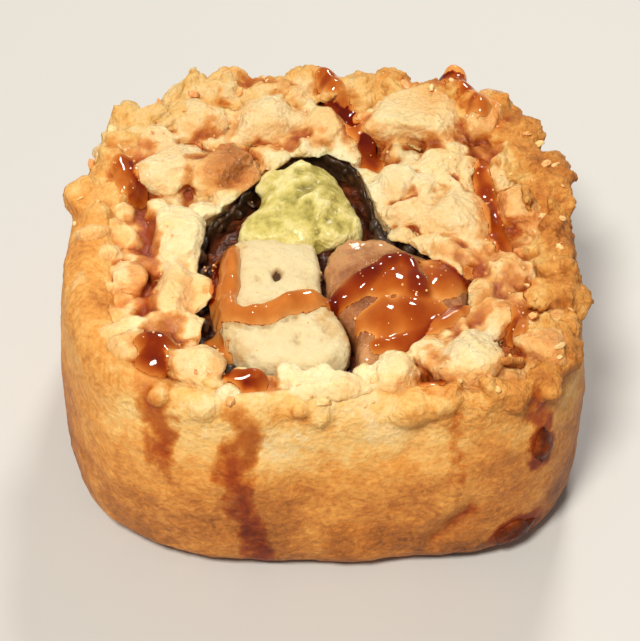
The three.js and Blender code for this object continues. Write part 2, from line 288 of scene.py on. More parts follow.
def lump(place, size, turn, seed, jagged):
    """A torn scrap or clump, more uneven the more jagged."""
    ball, faces = BALLS[3]
    unevenness = rough(ball, 1.1, seed) + 0.7 * ridged(ball, 0.8, seed + 3, 2)
    points = ball * (1 + jagged * unevenness)[:, None] * np.array(size) / 2
    return points @ rotation(*turn).T + place, faces


def chunk(place, size, turn, seed, detail=4):
    """A broken clump: a flat top and flat sides with blunt edges between them."""
    ball, faces = BALLS[detail]
    random = np.random.default_rng(seed)
    ways = np.concatenate([[[*random.uniform(-0.25, 0.25, 2), 1.0]], random.normal(size=(9, 3))])
    points = ball.copy()
    ways /= np.linalg.norm(ways, axis=1, keepdims=True)
    for way, reach in zip(ways, random.uniform(0.6, 0.84, 10)):
        points -= np.maximum(0, points @ way - reach)[:, None] * way
    points *= (1.14 + 0.09 * rough(ball, 0.9, seed) + 0.05 * ridged(ball, 0.45, seed + 3, 2))[:, None]
    return points * np.array(size) / 2 @ rotation(*turn).T + place, faces


def fused(skins, fineness):
    """One closed skin of even four-cornered faces round several that overlap."""
    points, faces = joined(skins)
    mesh = bpy.data.meshes.new("parts")
    mesh.from_pydata((points * MM).tolist(), [], faces.tolist())
    holder = bpy.data.objects.new("parts", mesh)
    bpy.context.scene.collection.objects.link(holder)
    remesh = holder.modifiers.new("fuse", "REMESH")
    remesh.mode = "VOXEL"
    remesh.voxel_size = fineness * MM
    evaluated = holder.evaluated_get(bpy.context.evaluated_depsgraph_get())
    result = evaluated.to_mesh()
    whole = np.empty(len(result.vertices) * 3, np.float32)
    result.vertices.foreach_get("co", whole)
    corners = np.empty(len(result.loops), np.int32)
    result.loops.foreach_get("vertex_index", corners)
    evaluated.to_mesh_clear()
    bpy.data.objects.remove(holder)
    bpy.data.meshes.remove(mesh)
    return whole.reshape(-1, 3).astype(float) / MM, corners.reshape(-1, 4)


def neighbours(faces):
    """Every edge of a closed skin, once each way."""
    sides = faces.shape[1]
    return np.concatenate([faces[:, [k, (k + 1) % sides]] for k in range(sides)]).T


def relaxed(values, faces, times):
    """Values drawn towards the mean of their neighbours, again and again."""
    start, end = neighbours(faces)
    values = values.reshape(len(values), -1)
    count = np.bincount(start, minlength=len(values))[:, None]
    for _ in range(times):
        sums = [np.bincount(start, column[end], len(values)) for column in values.T]
        values = values + 0.5 * (np.stack(sums, 1) / count - values)
    return values


def outward(points, faces):
    """Unit normals at the points."""
    corner = [points[faces[:, k]] for k in range(faces.shape[1])]
    if len(corner) == 4:
        facing = np.cross(corner[2] - corner[0], corner[3] - corner[1])
    else:
        facing = np.cross(corner[1] - corner[0], corner[2] - corner[0])
    total = np.zeros_like(points)
    for column in faces.T:
        for axis in range(3):
            total[:, axis] += np.bincount(column, facing[:, axis], len(points))
    return total / np.maximum(np.linalg.norm(total, axis=1, keepdims=True), 1e-9)


def pushed(points, faces, push):
    """Points moved outwards by so many millimetres."""
    return points + outward(points, faces) * push[:, None]


def hollowness(points, faces, width):
    """How deep each point lies below its surroundings (negative on crests), as a share of that width."""
    normals = outward(points, faces)
    step = np.linalg.norm(points[faces[:, 0]] - points[faces[:, 1]], axis=1).mean()
    times = int(2 * (width / step) ** 2)
    return ((relaxed(points, faces, times) - points) * normals).sum(1) / width


# ---------------------------------------------------------------- batter
# Crevices between the clumps of rice: way over the face, half width and depth.
GROOVES = [
    ([(0.4, 25.0), (1.6, 20.6), (3.6, 16.4), (6.0, 11.6)], 1.2, 2.4),
    ([(-13.6, 6.8), (-13.0, 3.8)], 0.6, 1.2),
    ([(-18.4, 9.0), (-17.6, 2.0), (-17.4, -6.0), (-16.6, -12.6)], 0.9, 1.0),
    ([(12.0, -16.8), (10.8, -19.6), (11.4, -22.4)], 0.8, 1.4),
    ([(16.6, 14.0), (16.9, 6.0), (17.6, -1.0), (19.0, -9.0)], 0.9, 0.9),
    ([(-9.0, -19.6), (-7.2, -22.0)], 0.8, 1.2),
]


def away_from(places, route):
    """How far places on the face lie from a way over it."""
    places = places[:, :2]
    nearest = np.full(len(places), 99.0)
    for start, end in zip(np.array(route)[:-1], np.array(route)[1:]):
        along = end - start
        share = np.clip(((places - start) @ along) / (along @ along), 0, 1)
        nearest = np.minimum(nearest, np.linalg.norm(places - start - share[:, None] * along, axis=1))
    return nearest


def groove_depth(places):
    return sum(deep * np.exp(-((away_from(places, way) / wide) ** 2)) for way, wide, deep in GROOVES)


def face_level(angle, distance):
    """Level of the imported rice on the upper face."""
    share = distance / np.maximum(1, wall(angle, FACE))
    places = on_ring(angle, distance)
    swell = noise(places, 9, 4)
    level = FACE - 1.5 + LIP * nearness(angle) * smoothstep(0.5, 0.8, share) + 0.5 * swell
    return level - groove_depth(places + [*MIDDLE, 0])


def rim_width(angle):
    """How far the batter reaches in over the cut face: most on the left, least on the near side."""
    uneven = noise(on_ring(angle, 9), 4, 8)
    return 3.0 + 0.7 * np.sin(angle) + 0.7 * uneven + 2.6 * smooth_side(angle) + 1.3 * near_side(angle)


def batter_ring():
    """The coat as a plain ring, before its crags."""

    def side(z, inset=0.0):
        return lambda angle: (wall(angle, z) - inset, z)

    def rim(share, drop):
        def at(angle):
            top = FACE + 0.2 - drop + LIP * (0.5 * nearness(angle) - 0.4 * near_side(angle))
            return wall(angle, FACE) - share * rim_width(angle), top

        return at

    shoulder = [side(FACE - 3.0), side(FACE - 1.9, 0.15), side(FACE - 1.1, 0.5)]
    over = [rim(0.32, 0.35), rim(0.5, 0.0), rim(0.8, 0.3), rim(1.0, 1.4), rim(1.0, 3.4)]
    inside = [side(FACE - 5.5, COAT), side(5, COAT), side(3.4, FOOT_REACH), side(0.7, FOOT_REACH)]
    foot = [side(0.05, 3.8), side(0, 2.2), side(0.12, 1.4), side(0.5, 0.75), side(1.2, 0.25)]
    foot += [side(2.2, 0.03)]
    up = [side(z) for z in np.arange(4, FACE - 3.5, 2.0)]
    return turned(foot + up + shoulder + over + inside, MIDDLE, 300)


DENT = [(11.2, -25.2, 4.9), (13.0, -25.1, 6.9), (15.0, -24.8, 9.2)]  # a scar low on the near side
CRAGS = 84  # places for them round the edge, of which a smooth stretch keeps few
FLAKES = 46


def on_side(angle, inset, z):
    """One place that lies so far inside the batter's side."""
    return [*place_at(angle, wall(angle, z)[0] - inset), z]


def tornness(angle):
    """How torn the coat's upper edge is: least on the left, less on the near side."""
    return np.maximum(0, 1 - 0.95 * smooth_side(angle) - 0.85 * near_side(angle))


def crags(random):
    """Torn lumps of batter round the upper edge, larger and higher on the far side."""
    made = []
    for i in range(CRAGS):
        angle = TURN * (i + 0.9 * random.random()) / CRAGS
        far = 0.5 + 0.5 * np.sin(angle)
        size = 1.6 + 2.6 * random.random() ** 1.3 + 1.5 * far
        inset = 0.3 * size + (0.4 + 3.2 * far) * random.random()
        z = FACE - 0.4 * size + 0.4 * random.random() + 0.6 * far
        stretch = size * random.uniform([0.8, 0.9, 0.7], [1.2, 1.6, 1.0])
        turn = leaning(random, 0.5, 0.5)
        if random.random() < tornness(angle):
            made.append(lump(on_side(angle, inset, z), stretch, turn, 20 + i, 0.22))
    return made


def flakes(random):
    """Thin curled scraps of batter that stand up from the torn edge."""
    made = []
    for i in range(FLAKES):
        angle = TURN * random.random()
        size = 1.8 + 1.8 * random.random()
        inset = 0.6 + 4.2 * random.random()
        turn = leaning(random, 1.2, 0.5)
        if random.random() < tornness(angle):
            place = on_side(angle, inset, FACE + 0.1 + 0.8 * random.random())
            made.append(lump(place, [size, 1.3 * size, 0.9], turn, 400 + i, 0.3))
    return made


def batter_skin():
    random = np.random.default_rng(5)
    points, faces = fused([batter_ring()] + crags(random) + flakes(random), BATTER_FINENESS)
    points = relaxed(points, faces, 2)
    angle, _ = polar(points)
    upper = smoothstep(FACE - 4.5, FACE - 1.0, points[:, 2])
    torn = upper * tornness(angle)
    wrinkled = smoothstep(9, 16, points[:, 2]) * (1 - torn)
    swirled = points + 1.6 * np.stack([noise(points, 4, 90 + k) for k in range(3)], 1)
    push = 0.22 * rough(points, 6, 1) + 0.05 * rough(points, 1.3, 2, 2)
    blisters = smoothstep(0.6, 0.1, nearest_seed(points, 0.95, 4))
    push += torn * (0.32 * ridged(points, 3.6, 3, 3, 0.55) + 0.24 * blisters)
    push += 0.08 * wrinkled * ridged(swirled * [1, 1, 1.2], 3.8, 9, 3, 0.45)
    push += 0.08 * smoothstep(0.4, 0.15, nearest_seed(points, 3.3, 6)) * (1 - upper)
    push -= 0.7 * np.exp(-((near_line(points, DENT) / 0.9) ** 2))
    push *= smoothstep(0, 1.0, points[:, 2] + 0.3)
    points = pushed(points, faces, push)
    points[:, 2] = np.maximum(points[:, 2], 0)
    return points, faces


# ---------------------------------------------------------------- rice
# Clumps that stand out on the upper face: place, size (wide, deep, high), turn in degrees, rise, and tint:
# how much browner than the rest.
CLUMPS = [
    (-18.8, 14.0, 9.0, 6.5, 4.4, 35, 0.2, 0.10),
    (-15.2, 9.6, 7.6, 6.0, 4.6, 10, 0.4, 0.06),
    (-9.6, 9.4, 8.0, 4.8, 4.8, 35, 0.4, 0.78),
    (-14.6, 0.2, 5.6, 8.4, 4.6, 5, 0.4, 0.02),
    (-14.8, -9.4, 4.6, 9.0, 4.4, -4, 0.1, 0.16),
    (-5.6, 17.0, 9.4, 6.8, 5.0, 10, 0.6, 0.14),
    (-12.6, 17.2, 6.0, 5.0, 4.4, 20, 0.4, 0.16),
    (0.2, 16.0, 4.8, 5.0, 4.4, -15, 0.3, 0.24),
    (10.6, 17.4, 12.0, 8.6, 5.6, 15, 0.5, 0.14),
    (17.6, 17.4, 6.2, 5.4, 5.0, 45, 0.5, 0.32),
    (12.8, 9.8, 6.6, 5.2, 4.8, -10, 0.4, 0.16),
    (8.0, 6.6, 4.2, 4.6, 4.4, 30, 0.3, -0.08),
    (8.9, 2.6, 4.6, 4.0, 4.0, -10, 0.2, -0.06),
    (13.6, 2.0, 6.8, 6.4, 4.8, 10, 0.4, 0.0),
    (17.9, -5.2, 4.6, 5.6, 4.2, 20, 0.1, 0.22),
    (17.8, -12.2, 4.6, 4.0, 4.0, -30, 0.2, 0.22),
    (14.6, -18.4, 7.2, 6.2, 4.8, 20, 0.8, -0.06),
    (7.2, -21.0, 4.6, 3.8, 4.6, -15, 0.8, 0.0),
    (1.8, -22.3, 7.0, 2.6, 3.0, 4, 0.1, 0.0),
    (-11.8, -19.8, 6.2, 4.4, 4.0, -25, 0.3, 0.08),
    (-18.4, -17.0, 4.4, 4.0, 3.8, 20, 0.3, 0.0),
    (-18.0, -13.6, 2.8, 3.0, 2.8, 0, 0.4, -0.05),
    (21.4, -16.8, 5.0, 6.0, 4.4, 30, 0.4, 0.10),
    (20.6, 3.6, 4.6, 5.2, 4.4, -20, 0.3, 0.30),
    (10.1, 6.2, 3.8, 3.6, 3.4, 25, 0.2, 0.0),
    (13.0, 6.4, 4.0, 3.4, 3.4, -15, 0.2, 0.04),
]


def clump_tint(points):
    """How much browner than the rest the clump round each point is."""
    total, weights = np.zeros(len(points)), np.full(len(points), 0.15)
    for x, y, wide, deep, _, _, _, tint in CLUMPS:
        away = np.hypot(points[:, 0] - x, points[:, 1] - y) / (0.25 * (wide + deep))
        weight = np.exp(-(away**4))
        total += weight * tint
        weights += weight
    return total / weights


def lip(angle):
    """How far the rice leans in over the seaweed: not at all beside two hollows, little on the left."""
    uneven = noise(on_ring(angle, 8), 2.4, 37)
    hollows = np.maximum(window(angle, 64, 30), window(angle, 229, 26))
    return np.clip(1.9 + 1.0 * uneven, 0, 2.8) * (1 - hollows) * (1 - 0.65 * window(angle, 150, 44))


def rice_slab(low, high, level):
    """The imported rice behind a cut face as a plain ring. level gives the face's height."""
    level_lip = lip if level is face_level else np.zeros_like

    def inner(z):
        return lambda angle: (around(nori_table, angle) + NORI_CLEAR, z)

    def outer(z):
        return lambda angle: (wall(angle, z) - 1.5, z)

    def over(share):
        def at(angle):
            near = around(nori_table, angle) + NORI_CLEAR + 0.3 - level_lip(angle)
            far = wall(angle, high) - 2.0
            distance = near + (far - near) * share
            return distance, level(angle, distance)

        return at

    faces = [over(share) for share in (1, 0.8, 0.6, 0.4, 0.2, 0)]
    if level is face_level:
        return turned([inner(low), outer(low), outer(high - 2.2)] + faces + [inner(high - 2.2)], MIDDLE)
    return turned([inner(high), outer(high), outer(low + 2.2)] + faces + [inner(low + 2.2)], MIDDLE)


def scattered(spacing, random):
    """Places spread evenly over the face by the sunflower rule, each moved a little."""
    reach = 40
    number = np.arange(int(np.pi * reach**2 / spacing**2))
    radius = reach * np.sqrt((number + 0.5) / len(number))
    angle = number * np.pi * (3 - np.sqrt(5))
    places = on_ring(angle, radius)[:, :2]
    return places + random.uniform(-0.28, 0.28, places.shape) * spacing


def foot_grains(random):
    """Grains over the lower cut face, flat or leaning, none across the seaweed or the batter."""
    made = []
    for x, y in scattered(1.1 * GRAIN_WIDTH, random):
        size = np.array([GRAIN_WIDTH, GRAIN_LENGTH, 0.9 * GRAIN_WIDTH]) * random.uniform(0.82, 1.12)
        turn = leaning(random, 0.55, 0.5, np.pi)
        z = FOOT_LEVEL + 0.2 + random.uniform(-0.5, 0.6)
        angle, distance = polar(np.array([[x, y]]))
        besides = distance[0] < around(nori_table, angle)[0] + 0.35 * GRAIN_WIDTH
        beyond = distance[0] > wall(angle, FACE)[0] - 4.2 - 0.3 * GRAIN_WIDTH
        if not (besides or beyond):
            made.append(grain([x, y, z], size, turn))
    return made


def trimmed(points):
    """Keeps rice clear of the seaweed, apart from what leans in over its edge."""
    angle, distance = polar(points)
    over = (0.4 + lip(angle)) * smoothstep(FACE - 1.1, FACE - 0.3, points[:, 2])
    least = around(nori_table, angle) + NORI_CLEAR - over
    return np.stack([*place_at(angle, np.maximum(distance, least)), points[:, 2]], 1)


def large_clumps():
    made = []
    for number, (x, y, wide, deep, high, turn, rise, _) in enumerate(CLUMPS):
        angle, distance = polar(np.array([[x, y]]))
        place = [x, y, face_level(angle, distance)[0] + rise + 0.5]
        made.append(chunk(place, [wide, deep, high], [0, 0, np.radians(turn)], 60 + number))
    return made


def small_clumps(random):
    """Broken bits between the large clumps."""
    made = []
    for x, y in scattered(2.7, random):
        size = random.uniform(2.0, 3.9) * random.uniform([0.8, 0.9, 0.8], [1.1, 1.4, 1.0])
        turn = leaning(random, 0.5, 0.5)
        rise = random.uniform(-0.5, 0.7)
        place = np.array([[x, y]])
        angle, distance = polar(place)
        besides = distance[0] < around(nori_table, angle)[0] + 0.9 - 0.6 * lip(angle)[0]
        beyond = distance[0] > wall(angle, FACE)[0] - 2.4 - 0.3 * near_side(angle)[0]
        if not (besides or beyond or groove_depth(place)[0] > 0.5):
            z = face_level(angle, distance)[0] + rise
            made.append(chunk([x, y, z], size, turn, 500 + len(made), 3))
    return made


EDGE_CLUMPS = 34
PIT_WIDTH = 2.4  # of the pits between clumps that are filled


def edge_clumps(random):
    """Clumps along the seaweed that lean in over it."""
    made = []
    for i in range(EDGE_CLUMPS):
        angle = np.array([TURN * (i + 0.8 * random.random()) / EDGE_CLUMPS])
        distance = around(nori_table, angle) + 1.2 - 0.7 * lip(angle)
        x, y = place_at(angle[0], distance[0])
        z = face_level(angle, distance)[0] + random.uniform(0.1, 0.9)
        size = random.uniform(2.2, 3.8) * random.uniform([0.8, 0.9, 0.7], [1.1, 1.5, 0.9])
        turn = leaning(random, 0.4, 0.4)
        made.append(chunk([x, y, z], size, turn, 900 + i, 3))
    return made


def rice_upper_skin():
    random = np.random.default_rng(11)
    parts = [rice_slab(FACE - SLAB, FACE, face_level)] + large_clumps() + small_clumps(random)
    parts += edge_clumps(random)
    points, faces = fused(parts, RICE_FINENESS)
    points = relaxed(points, faces, 3)
    pits = PIT_WIDTH * hollowness(points, faces, PIT_WIDTH)
    kept = np.minimum(1, groove_depth(points) / 0.8)
    points = pushed(points, faces, 1.25 * (1 - kept) * np.maximum(0, pits - 0.3))
    push = 0.16 * rough(points, 2.6, 12) + 0.04 * ridged(points, 1.5, 13, 3, 0.5)
    grainy = 0.05 + 0.15 * smoothstep(-0.2, 0.4, noise(points, 7, 16))
    push += grainy * smoothstep(0.6, 0.15, nearest_seed(points, 0.9, 14))
    points = pushed(points, faces, push * smoothstep(FACE - 4, FACE - 2, points[:, 2]))
    return trimmed(points), faces


def foot_level(angle, distance):
    """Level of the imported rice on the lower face, the same everywhere."""
    return FOOT_LEVEL + 0 * distance


def rice_lower_skin():
    random = np.random.default_rng(23)
    parts = [rice_slab(0, SLAB, foot_level)] + foot_grains(random)
    points, faces = fused(parts, FOOT_FINENESS)
    points = relaxed(points, faces, 3)
    points[:, 2] = np.maximum(points[:, 2], 0.05)
    return trimmed(points), faces


# ---------------------------------------------------------------- seaweed
SCRAPS = 30  # torn bits along its upper edge
SCRAP_FINENESS = 0.22


def nori_skin():
    """The sheet round the fillings, its cut edges ragged."""

    def wall_at(depth, share):
        def at(angle):
            ring = on_ring(angle, 12)
            top = FACE - 1.6 + 0.9 * rough(ring, 1.8, 31, 4, 0.6) + 0.4 * LIP * nearness(angle)
            ripple = 0.10 * noise(ring + [0, 0, 30 * share], 3, 33)
            return around(nori_table, angle) - depth + ripple, 0.25 + (top - 0.25) * share

        return at

    shares = np.concatenate([np.linspace(0, 0.75, 12), np.linspace(0.78, 1, 14)])
    outside = [wall_at(0, share) for share in shares]
    inside = [wall_at(NORI_THICKNESS, share) for share in shares[::-1]]
    random = np.random.default_rng(29)
    scraps = []
    for i in range(SCRAPS):
        angle = TURN * (i + random.random()) / SCRAPS
        distance = around(nori_table, angle) - 0.2 - 0.8 * random.random()
        z = FACE - 2.5 + 0.9 * random.random() + 0.4 * LIP * nearness(angle)
        place = [*place_at(angle, distance), z]
        size = random.uniform(0.8, 1.8) * random.uniform([0.6, 0.8, 0.4], [1.1, 1.8, 0.8])
        scraps.append(lump(place, size, random.uniform(-1.5, 1.5, 3), 700 + i, 0.4))
    points, faces = fused(scraps, SCRAP_FINENESS)
    points = relaxed(points, faces, 3)
    return joined([turned(outside + inside, MIDDLE, 540), (points, triangles_of(faces))])


# ---------------------------------------------------------------- fillings
def filling_ring(node, top, dome):
    """A filling as a plain stick with the frame's own outline, its ends domed."""
    low, high = box_of(node)
    centre = (low + high)[:2] / 2
    table = evened(distances(node, FACE / 2, centre), 1.5)

    def side(z, inset=0.0):
        return lambda angle: (around(table, angle) - inset, z)

    def end(share, z):
        return lambda angle: (around(table, angle) * share, z)

    profile = [end(0, 0.05), end(0.8, 0.05), side(0.12, 0.6), side(0.7)]
    profile += [side(z) for z in np.linspace(3, top - 3, 8)]
    profile += [side(top - 1.2), side(top - 0.5, 0.25), side(top, 0.8)]
    profile += [end(0.75, top + 0.4 * dome), end(0.4, top + 0.85 * dome), end(0, top + dome)]
    return turned(profile, centre, 120, closed=False), centre, table


def upper_share(points):
    """1 near the upper face, falling to 0 below it."""
    low = FACE - 5
    return smoothstep(low, low + 2, points[:, 2])


def avocado_skin():
    ring, centre, table = filling_ring("avocado", FACE - 1.0, 1.2)
    random = np.random.default_rng(41)
    parts = [ring]
    for i in range(11):
        angle = random.uniform(0, TURN)
        share = random.uniform(0.1, 0.7)
        distance = around(table, angle) * share
        size = random.uniform(3.0, 5.4)
        x, y = place_at(angle, distance, centre)
        place = [x, y, FACE - 1.3 + 0.12 * (y - centre[1])]
        turn = leaning(random, 0.5, 0.5)
        parts.append(chunk(place, size * np.array([0.8, 1.2, 0.8]), turn, 100 + i))
    points, faces = fused(parts, FILLING_FINENESS)
    points = relaxed(points, faces, 1)
    push = upper_share(points) * (0.14 * ridged(points, 2.8, 42, 3, 0.6) + 0.08 * rough(points, 1, 44))
    return pushed(points, faces, push), faces


PIT = (-4.3, -7.0)  # a small hole in the cream cheese, painted dark as its shade


def pit_share(points):
    """1 in the middle of the cheese's hole, falling to 0 beside it."""
    return np.exp(-((np.linalg.norm((points[:, :2] - PIT) / [0.45, 0.65], axis=1)) ** 2))


def cheese_skin():
    ring, _, _ = filling_ring("cream_cheese", FACE + 0.3, 0.5)
    points, faces = fused([ring], FILLING_FINENESS)
    points = relaxed(points, faces, 3)
    push = 0.35 * rough(points, 4.5, 52, 2) + 0.18 * ridged(points, 2.2, 53, 3, 0.65)
    push += 0.08 * smoothstep(0.6, 0.15, nearest_seed(points, 0.8, 54))
    push = upper_share(points) * (push - 1.4 * pit_share(points))
    return pushed(points, faces, push), faces


GLAZE = ("bar", "salmon_glaze", "salmon_low", "salmon_side")  # the lines of sauce over the salmon


def salmon_skin():
    ring, _, _ = filling_ring("salmon", FACE - 0.5, 1.2)
    points, faces = fused([ring], FILLING_FINENESS)
    points = relaxed(points, faces, 4)
    band = np.sin(1.5 * (points[:, 0] * 0.5 + points[:, 1]) + 1.2 * noise(points, 4, 61))
    glazed = [near_line(points, LINES[name][0]) - 0.5 * LINES[name][1] for name in GLAZE]
    torn = smoothstep(0.3, 1.8, np.min(glazed, 0))
    push = (0.12 + 0.2 * torn) * rough(points, 3.4, 62, 2) + 0.12 * torn * band
    push += (0.02 + 0.25 * torn) * ridged(points, 1.8, 63, 3)
    return pushed(points, faces, upper_share(points) * push), faces


# ---------------------------------------------------------------- sauce
# Lines and patches of thick sauce: route over the face (x, y) or down the side (x, y, z), width, thickness,
# and how full the edge is: 1 for a bead, 0 for one that thins out.
LINES = {
    "left_bead": ([(-20.4, 10.8), (-19.8, 8.0), (-18.8, 5.0)], 3.4, 1.3, 0.7),
    "left_patch": ([(-15.2, -14.4), (-15.7, -17.4), (-15.6, -20.6)], 4.6, 1.7, 0.5),
    "bar_left": ([(-9.4, -2.2), (-9.5, -7), (-9.2, -12.4)], 2.8, 1.5, 1.0),
    "bar": ([(-9.8, -11.6), (-7.5, -13.2), (-5.0, -12.9), (-2.2, -11.5), (1.3, -10.1), (4.6, -7.9),
             (7.4, -5.2), (8.7, -5.4), (9.4, -7.6), (9.8, -11.0)], 2.6, 1.3, 0.9),
    "bar_foot": ([(-10.4, -12.4), (-9.8, -15.0), (-8.6, -17.0)], 2.6, 0.9, 0.4),
    "salmon_glaze": ([(4.4, -9.4), (7.6, -7.6), (11.2, -7.2), (14.0, -9.0)], 8.4, 0.8, 0.1),
    "salmon_low": ([(3.4, -12.9), (7.4, -13.0), (12.6, -11.4)], 6.8, 0.7, 0.2),
    "salmon_side": ([(4.6, -16.6), (8.0, -15.8), (12.2, -13.2), (14.6, -10.4)], 2.2, 0.9, 0.5),
    "mid_patch": ([(-9.0, -20.4), (-7.0, -21.3), (-4.8, -20.9)], 3.4, 1.2, 0.5),
    "near_spot": ([(10.2, -20.4), (10.9, -22.6)], 2.8, 0.8, 0.3),
    "back": ([(0.2, 24.2), (1.4, 20.8), (3.6, 16.5), (5.9, 10.6)], 3.2, 0.9, 0.1),
    "rim": ([(13.4, 24.0), (15.6, 20.0), (17.2, 15.4)], 2.8, 0.9, 0.4),
    "right": ([(16.6, 12.0), (17.0, 6.0), (17.6, 2.0), (18.4, -2.8)], 2.6, 1.1, 0.5),
    "right_near": ([(19.4, -11.6), (19.3, -14.0), (19.0, -16.6)], 2.4, 0.9, 0.3),
}
# Drops that hang on the side: where round MIDDLE in degrees, height, width, length, how far it stands out,
# and how much narrower it is at its top.
DROPS = [
    (-42.0, 15.8, 2.3, 5.0, 0.4, 0.45),
    (-42.0, 15.0, 2.6, 2.4, 0.6, 0.0),
    (-46.0, 3.4, 4.6, 4.4, 0.5, 0.1),
]
# Films of sauce that cling to the food: way over them, width.
FILMS = [
    ([(-20.4, 10.8), (-18.8, 5.4), (-17.6, 0.8), (-17.5, -3.4), (-17.2, -8.5), (-16.6, -12.0)], 2.6),
    ([(-23.0, 12.6), (-20.6, 12.4), (-17.4, 12.0)], 1.6),
    ([(-13.0, 9.6), (-9.3, 11.8), (-3.6, 13.2), (0.4, 14.0)], 1.6),
    ([(-10.8, 20.2), (-11.6, 16.6), (-12.4, 13.4)], 1.4),
    ([(-8.5, 24.2), (-6.2, 22.0), (-3.2, 20.4)], 3.0),
    ([(0.2, 24.2), (1.4, 20.8), (3.6, 16.5), (5.9, 10.6)], 4.2),
    ([(13.4, 24.0), (15.6, 20.0), (17.2, 15.4)], 4.0),
    ([(11.0, 12.6), (13.6, 14.2), (17.4, 13.8)], 1.8),
    ([(17.0, 12.0), (17.6, 4.0), (18.4, -2.8), (19.6, -7.0), (19.4, -11.0)], 3.6),
    ([(13.0, -3.0), (16.4, -4.6), (20.4, -5.6)], 2.6),
    ([(19.4, -10.6), (19.3, -14.0), (19.0, -17.6)], 3.2),
    ([(10.6, -18.0), (11.0, -20.4), (12.0, -23.0)], 2.4),
    ([(-18.8, -16.0), (-17.0, -19.4)], 1.6),
    ([(-13.4, 9.6), (-13.6, 4.4)], 1.2),
]
# Where sauce has soaked into the side: way down it, width, and how strongly.
SOAKED = [
    ([(-15.6, -21.0, 24.0), (-15.3, -24.0, 20.0), (-15.0, -24.0, 17.4)], 2.8, 1.0),
    ([(-16.8, -23.6, 17.2), (-16.0, -23.8, 16.4)], 1.8, 0.7),
    ([(-15.2, -24.0, 14.8), (-15.0, -24.0, 13.4)], 1.7, 0.6),
    ([(-6.6, -22.0, 24.0), (-6.6, -24.4, 20.5), (-8.0, -25.0, 17.0), (-7.6, -25.2, 13.0)], 3.7, 1.0),
    ([(-7.6, -25.2, 14.0), (-6.8, -25.2, 9), (-6.0, -25.0, 1.0)], 3.0, 0.95),
    ([(13.0, -24.6, 22.0), (13.2, -25.0, 14.0)], 2.2, 0.5),
    ([(19.6, -21.6, 22.6), (20.6, -22.2, 19.6), (21.4, -22.4, 17.0)], 2.4, 0.9),
    ([(12.6, -25.2, 6.4), (15.1, -24.8, 9.4)], 1.2, 0.4),
]
LINE_STEP = 0.35  # from one cross-section of a line to the next
ACROSS = np.linspace(-1, 1, 13)  # places across a line, as shares of half its width
RAY_LIFT = 9.0  # how far off the food the rays start that find what a line lies on
LEVELLINGS = 14  # how often a line's bed is evened out


def smooth_route(route):
    """Evenly spaced points along a smooth curve through a route. A point without a height is on the face."""
    knots = np.array([list(point) + [FACE + 0.5] * (3 - len(point)) for point in route])
    knots = np.concatenate([[2 * knots[0] - knots[1]], knots, [2 * knots[-1] - knots[-2]]])
    dense = []
    for a, b, c, d in zip(knots, knots[1:], knots[2:], knots[3:]):
        t = np.linspace(0, 1, 40, endpoint=False)[:, None]
        bend = (2 * a - 5 * b + 4 * c - d) * t**2 + (3 * b - a - 3 * c + d) * t**3
        dense.append(0.5 * (2 * b + (c - a) * t + bend))
    dense = np.concatenate(dense + [knots[-2:-1]])
    run = np.concatenate([[0], np.cumsum(np.linalg.norm(np.diff(dense, axis=0), axis=1))])
    at = np.linspace(0, run[-1], max(6, int(run[-1] / LINE_STEP)))
    return np.stack([np.interp(at, run, column) for column in dense.T], 1)


def off_slice(points):
    """Which way is off the slice: up over the face, outwards down the side."""
    out = points[:, :2] - MIDDLE
    out = np.concatenate([out / np.linalg.norm(out, axis=1, keepdims=True), np.zeros((len(points), 1))], 1)
    up = smoothstep(FACE - 3.5, FACE, points[:, 2])[:, None]
    way = out * (1 - up) + np.array([0, 0, 1]) * up
    return way / np.linalg.norm(way, axis=1, keepdims=True)


def ribbon(route, width, thick, full, seed, below):
    """A closed ribbon of sauce, laid over what is below it."""
    points = smooth_route(route)
    off = off_slice(points)
    ahead = np.gradient(points, axis=0)
    across = np.cross(ahead, off)
    across /= np.linalg.norm(across, axis=1, keepdims=True)
    run = np.linspace(0, 1, len(points))
    length = LINE_STEP * len(points)
    from_end = np.minimum(run, 1 - run) * length
    blunt = np.sqrt(np.clip(from_end / (0.5 * width), 0, 1) * (2 - np.clip(from_end / (0.5 * width), 0, 1)))
    line = np.stack([run * length, 0 * run, 0 * run], 1)
    half = 0.5 * width * (0.25 + 0.75 * blunt) * (1 + 0.45 * rough(line, 2.6, seed, 3))
    bed = np.zeros((len(points), len(ACROSS)))
    for i, j in product(range(len(points)), range(len(ACROSS))):
        start = points[i] + across[i] * half[i] * ACROSS[j] + off[i] * RAY_LIFT
        hit, _, _, reach = below.ray_cast(Vector(start), Vector(-off[i]), 2 * RAY_LIFT)
        bed[i, j] = RAY_LIFT - reach if hit else np.nan
    bed = np.where(np.isnan(bed), np.nanmedian(bed), bed)
    bed = np.clip(bed, np.median(bed) - 2.5, np.median(bed) + 2.5)
    level = bed
    for _ in range(LEVELLINGS):
        padded = np.pad(level, 1, mode="edge")
        beside = padded[2:, 1:-1] + padded[:-2, 1:-1] + padded[1:-1, 2:] + padded[1:-1, :-2]
        level = (beside + 2 * level) / 6
    swell = 1 + 0.4 * noise(line, 2.2, seed + 9)[:, None]
    bulge = (1 - np.abs(ACROSS) ** 2.2) ** (1.4 - 0.85 * full)
    rise = thick * bulge * blunt[:, None] * swell
    crest = 0.85 * level + 0.15 * bed + rise - 0.15 * (1 - bulge) - 0.1
    floor = np.minimum(bed, level) - 0.7
    line_points = points[:, None] + across[:, None] * (half[:, None] * ACROSS)[..., None]
    return closed_pair(*(line_points + off[:, None] * height[..., None] for height in (crest, floor)))


